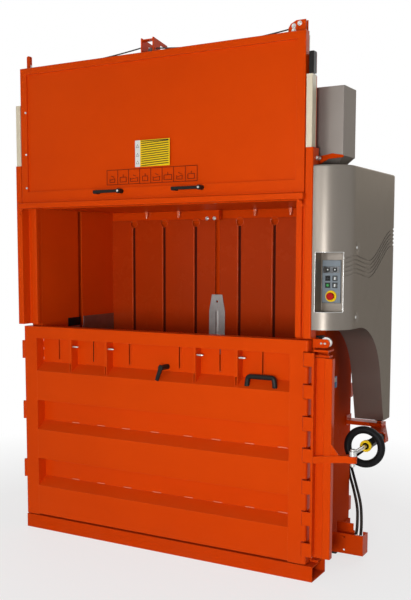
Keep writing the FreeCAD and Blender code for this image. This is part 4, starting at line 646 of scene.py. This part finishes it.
def makeWeldBead(length, radius, shape):
    # a short painted weld along X: its rings are scaled one by one, as the ripples of a bead
    bead = addRod("weldBead", (-length / 2, 0, 0), (length / 2, 0, 0), radius, 8)
    pick(bead, "EDGE", runsAlong(0))
    bpy.ops.mesh.subdivide(number_cuts=shape["steps"] - 1)
    bpy.ops.object.mode_set(mode="OBJECT")
    for vertex in bead.data.vertices:
        step = round((vertex.co.x / length + 0.5) * shape["steps"])
        size = shape["tip"] if step in (0, shape["steps"]) else 1.0 - shape["dip"] * (step % 2)
        vertex.co.y *= size
        vertex.co.z *= size
    return bead


hexBolt = makeHexBolt(0.009, 0.009, boltShape)
smallScrew = makeSocketScrew(0.007, 0.006, screwShape)
weldBead = makeWeldBead(0.062, 0.0042, beadShape)
gateDepth = frontOf("gate_panel")
gateHandleReach = 45
# each row: what is copied, the body it rides, the way it looks and its places
fastenerSetup = {
    "gate_screws": (smallScrew, "gate", frontWards, [(-928, gateDepth, z) for z in (2722, 2459, 2248)]),
    "bracket_bolts": (hexBolt, "machine", frontWards, [(877, 28, 3042), (911, 28, 3052), (877, 28, 3018)]),
    "roller_screws": (smallScrew, "machine", frontWards, [(1050, 52, 1338), (1072, 52, 1338)]),
    "hood_screws": (hexBolt, "machine", rightWards, [(1187, 187, 1860), (1187, 187, 1479)]),
    "platen_bolts": (hexBolt, "press_plate", frontWards, [(x, 850, 2066) for x in (-90, -34)]),
    "cabinet_screws": (hexBolt, "machine", rightWards, [(1020, 25, 2337), (1020, 60, 2337)]),
    "gate_handle_screws": (smallScrew, "gate", frontWards,
                           [(x, gateDepth - gateHandleReach, 2203) for x in (-198, 352)])}


def placeFastener(name, source, body, looks, places):
    turn = Vector(looks).to_track_quat("Z", "Y").to_matrix().to_4x4()
    copies = [copyTo(source, name, Matrix.Translation(spot(*place)) @ turn) for place in places]
    return finish(joinAll(name, copies), body, "zinc")


for name, row in fastenerSetup.items():
    placeFastener(name, *row)
print("fasteners done:", len(fastenerSetup))

# painted welds, whose lighter orange is a painted highlight: at the foot of the door's back plate and where the
# gussets and the stiles meet it
doorWeldSetup = {"depth": 73, "shrink": 0.3,
                 "rows": {1092: (-660, -440, -40, 190, 480, 660, 830),
                          729: (-642, -440, -250, -35, 200, 392, 612, 820),
                          351: (-648, -445, -240, -22, 205, 405, 616, 825)},
                 "upright": [(x, 73, z) for x in (-897, 884) for z in (1140, 1205, 1262)]
                 + [(x, 60, z) for x in (-366, 269, 544) for z in (1160, 1255)]}


def addDoorWelds(setup):
    beads = [copyTo(weldBead, "weld", Matrix.Translation(spot(x, setup["depth"], z)))
             for z, row in setup["rows"].items() for x in row]
    stood = Matrix.Rotation(math.radians(90), 4, "Y") @ Matrix.Diagonal((setup["shrink"], 1, 1, 1))
    beads += [copyTo(weldBead, "weld", Matrix.Translation(spot(*place)) @ stood)
              for place in setup["upright"]]
    return finish(joinAll("door_welds", beads), "door", "orange", weldHighlightPaint)


addDoorWelds(doorWeldSetup)
print("welds done")

# plain striped plate and the strip of outlines on the gate
plateSetup = {"x": (-100, 139), "z": (2340, 2495), "sheet": 1.2, "column": 36, "ink": 0.4,
              "stripes": 12, "margin": 8, "gap": 0.3, "share": 0.36, "lean": 9,
              "signs": (26, 70, 121), "sign": ((8, -8), (28, -8), (18, 10)), "signLine": 0.9}
stripSetup = {"x": (-304, 320), "z": (2243, 2330), "line": 3.0, "fields": 8, "foot": 14, "width": (18, 4),
              "height": (22, 6), "above": 16}


def plateAt(name, across, upright, depth, sheet, body, slotName, material=None, corner=0.0):
    # a thin plate or strip that stands off a face that looks to the front
    plate = addBlock(name, (across[0], depth - sheet, upright[0]), (across[1], depth, upright[1]))
    if corner:
        roundEdges(plate, runsAlong(1), corner, 3)
    else:
        roundEdges(plate, lambda middle, run: middle.y < fromDoor(depth - sheet / 2), sheet / 4, 1)
    return finish(plate, body, slotName, material)


def addStripedPlate(setup):
    x0, x1 = setup["x"]
    z0, z1 = setup["z"]
    split, margin = x0 + setup["column"], setup["margin"]
    plateAt("striped_plate", (split, x1), (z0, z1), gateDepth, setup["sheet"], "gate", "yellow")
    plateAt("striped_plate_column", (x0, split), (z0, z1), gateDepth, setup["sheet"], "gate", "key_white",
            labelWhite)
    marks = []
    pitch = (z1 - z0) / setup["stripes"]
    face = gateDepth - setup["sheet"]
    for number in range(setup["stripes"]):
        low = z0 + (number + setup["gap"]) * pitch
        stripe = addBlock("stripe", (split + margin, face - setup["ink"], low),
                          (x1 - margin, face, low + pitch * setup["share"]))
        # the last stripe stays level, so that it doesn't leave the plate
        lean = setup["lean"] / 1000 if number + 1 < setup["stripes"] else 0
        pick(stripe, "FACE", looksTo(rightWards))
        bpy.ops.transform.translate(value=(0, 0, lean))
        bpy.ops.object.mode_set(mode="OBJECT")
        marks.append(stripe)
    for centre in setup["signs"]:
        corners = [spot(x0 + x, face, z0 + centre + z) for x, z in setup["sign"]]
        for first, second in zip(corners, corners[1:] + corners[:1]):
            marks.append(addRod("mark", first, second, setup["signLine"] / 1000, 6))
    return finish(joinAll("striped_plate_marks", marks), "gate", "black_plastic")


def addOutlineStrip(setup):
    # a row of plain frames with a simple press, box or bale outline in each
    x0, x1 = setup["x"]
    z0, z1 = setup["z"]
    step = (x1 - x0) / setup["fields"]
    rods = []

    def line(ax, az, bx, bz):
        rods.append(addRod("line", spot(ax, gateDepth, az), spot(bx, gateDepth, bz), setup["line"] / 2000, 6))
    for number in range(setup["fields"]):
        left, right = x0 + number * step, x0 + (number + 1) * step
        for start, end in (((left, z0), (right, z0)), ((left, z1), (right, z1)), ((left, z0), (left, z1))):
            line(*start, *end)
        middle, low = (left + right) / 2, z0 + setup["foot"]
        width = setup["width"][0] + setup["width"][1] * (number % 3)
        height = setup["height"][0] + setup["height"][1] * (number % 2)
        line(middle - width, low, middle + width, low)
        line(middle - width, low, middle - width, low + height)
        line(middle + width, low, middle + width, low + height)
        if number % 2:
            line(middle - width, low + height, middle + width, low + height)
            line(middle, low + height, middle, low + height + setup["above"])
        else:
            line(middle - width, low + height * 0.6, middle + width, low + height)
            line(middle - 8, low + height + setup["above"], middle + 12, low + height + setup["above"] / 2)
    line(x1, z0, x1, z1)
    return finish(joinAll("outline_strip", rods), "gate", "orange", outlinePaint)


addStripedPlate(plateSetup)
addOutlineStrip(stripSetup)
print("gate plates done")

# handles and the strap lever, in place of their plain CAD solids
bowSetup = {"depth": 21, "radius": 14.5, "pad": 15, "padLow": 1075, "padHigh": 1085, "round": 4,
            "line": ((617, 1077), (619, 1104), (626, 1131), (656, 1131), (704, 1131), (752, 1131),
                     (782, 1131), (789, 1104), (791, 1077))}
gateBowSetup = {"centres": (-285, 265), "left": -94, "boss": 87, "z": 2203, "half": 9,
                "reach": gateHandleReach, "sheet": 15, "bossRadius": 14, "foot": 24, "footGrows": 3, "round": 4,
                "rim": 3, "step": 0.8, "dish": 2}
leverSetup = {"x": 58, "z": 1145, "back": -3, "front": -15, "tilt": 20, "above": 17, "length": 84,
              "wide": 14, "narrow": 11, "round": 4, "hub": 16, "hubBack": 72, "hubFront": -16, "rim": 4,
              "dish": 1.5}


def curveToMesh(name, points, radius):
    # a smooth round bar along the points, as a mesh
    bar = addPath(points, steps=8, rounds=3)
    bar.data.bevel_depth = radius
    bpy.ops.object.convert(target="MESH")
    return takePlace(bpy.context.object, name)


def insetFace(piece, direction, *steps):
    # insets the face that looks in a direction, once for each thickness and depth in mm
    pick(piece, "FACE", looksTo(direction))
    for thickness, depth in steps:
        bpy.ops.mesh.inset(thickness=thickness / 1000, depth=depth / 1000)


def addDoorBow(setup):
    depth, line = setup["depth"], setup["line"]
    parts = [curveToMesh("bar", [spot(x, depth, z) for x, z in line], setup["radius"] / 1000)]
    for x in (line[0][0], line[-1][0]):
        pad = addRod("pad", spot(x, depth, setup["padLow"]), spot(x, depth, setup["padHigh"]),
                     setup["pad"] / 1000)
        roundEdges(pad, ringAbove(2, (setup["padHigh"] - 1) / 1000), setup["round"], 3)
        parts.append(pad)
    bow = finish(joinAll("door_bow", parts), "door", "black_plastic")
    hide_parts("door_handle")


def addGateBows(setup):
    parts = []
    grows = setup["footGrows"]
    face = gateDepth - setup["reach"]
    low, high = setup["z"] - setup["half"], setup["z"] + setup["half"]
    for centre in setup["centres"]:
        left, boss = centre + setup["left"], centre + setup["boss"]
        bar = addBlock("bar", (left, face, low), (boss, face + setup["sheet"], high))
        roundEdges(bar, runsAlong(0), setup["round"], 3)
        foot = addBlock("foot", (left, face + grows, low - grows), (left + setup["foot"], gateDepth, high))
        roundEdges(foot, runsAlong(1), setup["round"], 3)
        socket = addRod("boss", spot(boss, gateDepth, setup["z"]), spot(boss, face, setup["z"]),
                        setup["bossRadius"] / 1000, 32)
        insetFace(socket, frontWards, (setup["rim"], 0), (setup["step"], -setup["dish"]))
        parts += [bar, foot, socket]
    bows = finish(joinAll("gate_bows", parts), "gate", "black_plastic")
    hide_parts("gate_handles")


def addLever(setup):
    arm = addBlock("arm", (-setup["wide"], setup["front"], -setup["length"]),
                   (setup["wide"], setup["back"], setup["above"]))
    pick(arm, "FACE", looksTo(downWards))
    narrow = setup["narrow"] / setup["wide"]
    bpy.ops.transform.resize(value=(narrow, 1, 1), center_override=(0, 0, 0))
    roundEdges(arm, lambda middle, run: True, setup["round"], 3)
    lean = Matrix.Rotation(math.radians(setup["tilt"]), 4, "Y")
    arm.data.transform(Matrix.Translation((setup["x"] / 1000, 0, setup["z"] / 1000)) @ lean)
    hub = addRod("hub", spot(setup["x"], setup["hubBack"], setup["z"]),
                 spot(setup["x"], setup["hubFront"], setup["z"]), setup["hub"] / 1000)
    insetFace(hub, frontWards, (setup["rim"], -setup["dish"]))
    lever = finish(joinAll("strap_lever_grip", [arm, hub]), "strap_lever", "black_plastic")
    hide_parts("door_lever")


addDoorBow(bowSetup)
addGateBows(gateBowSetup)
addLever(leverSetup)
print("handles done")

# folded lips that narrow the door's strap slots, and the lips and eyes of the lining's slots, the latter in a
# lighter orange that is a painted highlight
doorSlotSetup = {"places": (-768, -493, -218, 142, 417, 692), "low": 1139, "high": 1275, "inner": 3.5,
                 "outer": 11, "depth": (71.5, 75), "round": 1}
liningSetup = {"places": (-725, -469, -213, 127, 383, 639), "low": 140, "high": 2016, "edge": 14, "lip": 4,
               "front": 915, "proud": 4, "round": 1.2, "eye": 2043, "eyeRadius": 28, "eyeRim": 2}


def addStrips(name, boxes, rounding, body, slotName, material=None):
    # upright strips, their boxes and the rounding of their standing edges in mm
    strips = []
    for low, high in boxes:
        strip = addBlock("strip", low, high)
        roundEdges(strip, runsAlong(2), rounding, 2)
        strips.append(strip)
    return finish(joinAll(name, strips), body, slotName, material)


def addDoorSlotLips(setup):
    inner, outer = setup["inner"], setup["outer"]
    front, back = setup["depth"]
    boxes = [((x + near, front, setup["low"]), (x + far, back, setup["high"]))
             for x in setup["places"] for near, far in ((-outer, -inner), (inner, outer))]
    addStrips("door_slot_lips", boxes, setup["round"], "door", "orange")


def addLiningLips(setup):
    front, edge = setup["front"], setup["edge"]
    boxes = [((x - edge - setup["lip"], front - setup["proud"], setup["low"]), (x - edge, front, setup["high"]))
             for x in setup["places"]]
    addStrips("lining_lips", boxes, setup["round"], "machine", "orange", lipHighlightPaint)
    rims = []
    for x in setup["places"]:
        clearSelection()
        bpy.ops.mesh.primitive_torus_add(major_radius=setup["eyeRadius"] / 1000,
                                         minor_radius=setup["eyeRim"] / 1000, major_segments=32,
                                         minor_segments=8, location=spot(x, front, setup["eye"]),
                                         rotation=(math.radians(90), 0, 0))
        rims.append(takePlace(bpy.context.object, "rim"))
    finish(joinAll("lining_eyes", rims), "machine", "orange", lipHighlightPaint)


addDoorSlotLips(doorSlotSetup)
addLiningLips(liningSetup)
print("slots done")

# control panel: display, key frames, key faces and a bright zinc rim round its recess, a painted highlight on
# the recess's edge
panelSetup = {"x": (1043, 1149), "z": (1560, 1793), "face": 69, "frame": 1.6, "frameProud": 1,
              "display": {"x": (1049, 1141), "z": (1723, 1758), "back": 1.4, "sheet": 0.8, "corner": 1.5},
              "displayKeys": {"x": (1075, 1116), "z": 1741, "half": 11, "back": 2.2, "sheet": 1.2,
                              "corner": 2.5, "mark": 4.5, "markHeight": 0.4},
              "keyFrame": {"half": 14, "wide": 3.8, "proud": 2}, "keyHalf": 9, "keySheet": 0.6, "keyCorner": 2,
              "markSheet": 0.5, "markHalf": 8, "markCorner": 1, "markRim": 0.8,
              # each key's middle, the slot of its mark and the mark's half width
              "keys": {"upper_left": (1075.5, 1694, "key_grey", 6),
                       "upper_right": (1116.5, 1694, "key_white", 5),
                       "lower_left": (1075.5, 1656.5, "key_green", 8),
                       "lower_right": (1116.5, 1656.5, "key_white", 5)}}
rimSetup = {"x": (1037, 1171), "z": (1513, 1835), "radius": 1.8, "corner": 165, "outer": 1200, "front": -25,
            "steps": 8}


def around(middle, half):
    return (middle - half, middle + half)


def frameBoxes(across, upright, edge, front, back, short=0.0):
    # four strips of a frame; the level ones end short of its corners
    x0, x1 = across
    z0, z1 = upright
    return [((x0, front, z0), (x0 + edge, back, z1)), ((x1 - edge, front, z0), (x1, back, z1)),
            ((x0 + short, front, z0), (x1 - short, back, z0 + edge)),
            ((x0 + short, front, z1 - edge), (x1 - short, back, z1))]


def addPanelDetails(setup):
    face = setup["face"]
    # a thin dark frame round the panel's face, in the seam shadow paint: painted shadow
    border = frameBoxes(setup["x"], setup["z"], setup["frame"], face - setup["frameProud"], face)
    addStrips("panel_seam_shadow", border, 0.3, "machine", "black_plastic", shadowPaint)
    display = setup["display"]
    plateAt("panel_display", display["x"], display["z"], face - display["back"], display["sheet"], "machine",
            "panel_grey", darkGlass, display["corner"])
    keys = setup["displayKeys"]
    faces = [plateAt("key", around(x, keys["half"]), around(keys["z"], keys["half"]), face - keys["back"],
                     keys["sheet"], "machine", "black_plastic", corner=keys["corner"]) for x in keys["x"]]
    finish(joinAll("display_keys", faces), "machine", "black_plastic")
    front = face - keys["back"] - keys["sheet"]
    marks = [addRod("mark", spot(x, front, keys["z"]), spot(x, front - keys["markHeight"], keys["z"]),
                    keys["mark"] / 1000, 12) for x in keys["x"]]
    finish(joinAll("display_key_marks", marks), "machine", "key_white")


def addKeys(setup):
    face, rim = setup["face"], setup["keyFrame"]
    frames = []
    for x, z, slotName, size in setup["keys"].values():
        frames += frameBoxes(around(x, rim["half"]), around(z, rim["half"]), rim["wide"], face - rim["proud"],
                             face, short=rim["wide"])
    addStrips("key_frames", frames, 0.4, "machine", "black_plastic")
    for key, (x, z, slotName, size) in setup["keys"].items():
        top = frontOf(key + "_button")
        plateAt(key + "_face", around(x, setup["keyHalf"]), around(z, setup["keyHalf"]), top,
                setup["keySheet"], key + "_key", "black_plastic", corner=setup["keyCorner"])
        seat = top - setup["keySheet"]
        if slotName == "key_white":
            plateAt(key + "_mark", around(x, size), around(z, setup["markHalf"]), seat, setup["markSheet"],
                    key + "_key", slotName, corner=setup["markCorner"])
        else:
            mark = addRod(key + "_mark", spot(x, seat, z), spot(x, seat - setup["markSheet"], z), size / 1000)
            insetFace(mark, frontWards, (setup["markRim"], 0.2))
            finish(mark, key + "_key", slotName)


def addRecessRim(setup):
    corner, outer = setup["corner"], setup["outer"]
    (x0, x1), (z0, z1) = setup["x"], setup["z"]
    radius = setup["radius"] / 1000

    def skin(x, z):
        # the place at x and z on the hood's rounded front
        past = max(x - (outer - corner), 0)
        return spot(x, setup["front"] + corner - math.sqrt(max(corner ** 2 - past ** 2, 0)), z)
    across = [x0 + (x1 - x0) * step / setup["steps"] for step in range(setup["steps"] + 1)]
    rods = [addRod("rim", skin(x, z0), skin(x, z1), radius, 10) for x in (x0, x1)]
    rods += [curveToMesh("rim", [skin(x, z) for x in across], radius) for z in (z0, z1)]
    # zinc rather than the hood's silver: a painted highlight along the recess's edge
    return finish(joinAll("recess_highlight_rim", rods), "machine", "silver", slotMaterials["zinc"])


addPanelDetails(panelSetup)
addKeys(panelSetup)
addRecessRim(rimSetup)
print("control panel done")

cupSetup = {"places": fastenerSetup["hood_screws"][-1], "radius": 25, "deep": 6, "proud": 5, "rim": 3,
            "slope": 7, "fall": 4, "round": 1}
pinSetup = {"places": (-574, -312, 272, 525), "half": 12, "depth": 838, "thick": 14, "low": 2074, "high": 2121,
            "narrow": 0.4, "round": 3}


def addHoodCups(setup):
    # pressed cups round the hood's screws: a rim that falls to a lower floor
    cups = []
    for x, depth, z in setup["places"]:
        top = x + setup["proud"]
        cup = addRod("cup", spot(x - setup["deep"], depth, z), spot(top, depth, z), setup["radius"] / 1000, 40)
        insetFace(cup, rightWards, (setup["rim"], 0), (setup["slope"], -setup["fall"]))
        roundEdges(cup, ringAbove(0, (top - 0.5) / 1000), setup["round"], 2)
        cups.append(cup)
    return finish(joinAll("hood_cups", cups), "machine", "silver", slotMaterials["zinc"])


def addPlatenPins(setup):
    # short guide pins under the press plate's back edge, each narrowing towards its foot; their lighter orange
    # is a painted highlight
    pins = []
    for x in setup["places"]:
        pin = addBlock("pin", (x - setup["half"], setup["depth"], setup["low"]),
                       (x + setup["half"], setup["depth"] + setup["thick"], setup["high"]))
        pick(pin, "FACE", lambda middle, normal: abs(normal.z) > 0.9)
        bpy.ops.mesh.subdivide(number_cuts=1)
        pick(pin, "FACE", looksTo(downWards))
        bpy.ops.transform.resize(value=(setup["narrow"], 1, 1), center_override=(x / 1000, 0, 0))
        roundEdges(pin, runsAlong(2), setup["round"], 3)
        pins.append(pin)
    return finish(joinAll("platen_pins", pins), "press_plate", "orange", weldHighlightPaint)


addHoodCups(cupSetup)
addPlatenPins(pinSetup)
print("cups and pins done")

# small plain pieces on the machine: boxes and rounding in mm, slot and, where it differs, material
# dark strips at the back of the lining's slots: painted shadow in the slots
slotShadowBoxes = [((x - 11, 922.4, liningSetup["low"]), (x + 13, 922.9, liningSetup["high"]))
              for x in liningSetup["places"]]
smallSetup = {
    "slot_painted_shadows": (slotShadowBoxes, 0.2, "orange", paintedSlotShadow),
    "side_foot": ([((924, 520, 0), (985, 585, 58))], 4, "black_rubber"),
    "side_foot_clip": ([((924, 512, 58), (992, 592, 64)), ((924, 512, 64), (930, 592, 120))], 1, "bare_steel"),
    "side_label": ([((925, 592, 1007), (926, 655, 1076))], 0.3, "key_white", labelBlue),
    "side_label_field": ([((926, 598, 1042), (926.5, 649, 1070))], 0.2, "key_white", labelWhite),
    # a black plate in the liner's window: painted shade in the opening
    "window_shadow_plate": ([((-914.5, 362, 1330), (-911.5, 500, 1388))], 1, "black_metal")}
for name, (boxes, rounding, *look) in smallSetup.items():
    addStrips(name, boxes, rounding, "machine", *look)
print("small pieces done:", len(smallSetup))

for source in (hexBolt, smallScrew, weldBead):
    bpy.data.objects.remove(source)
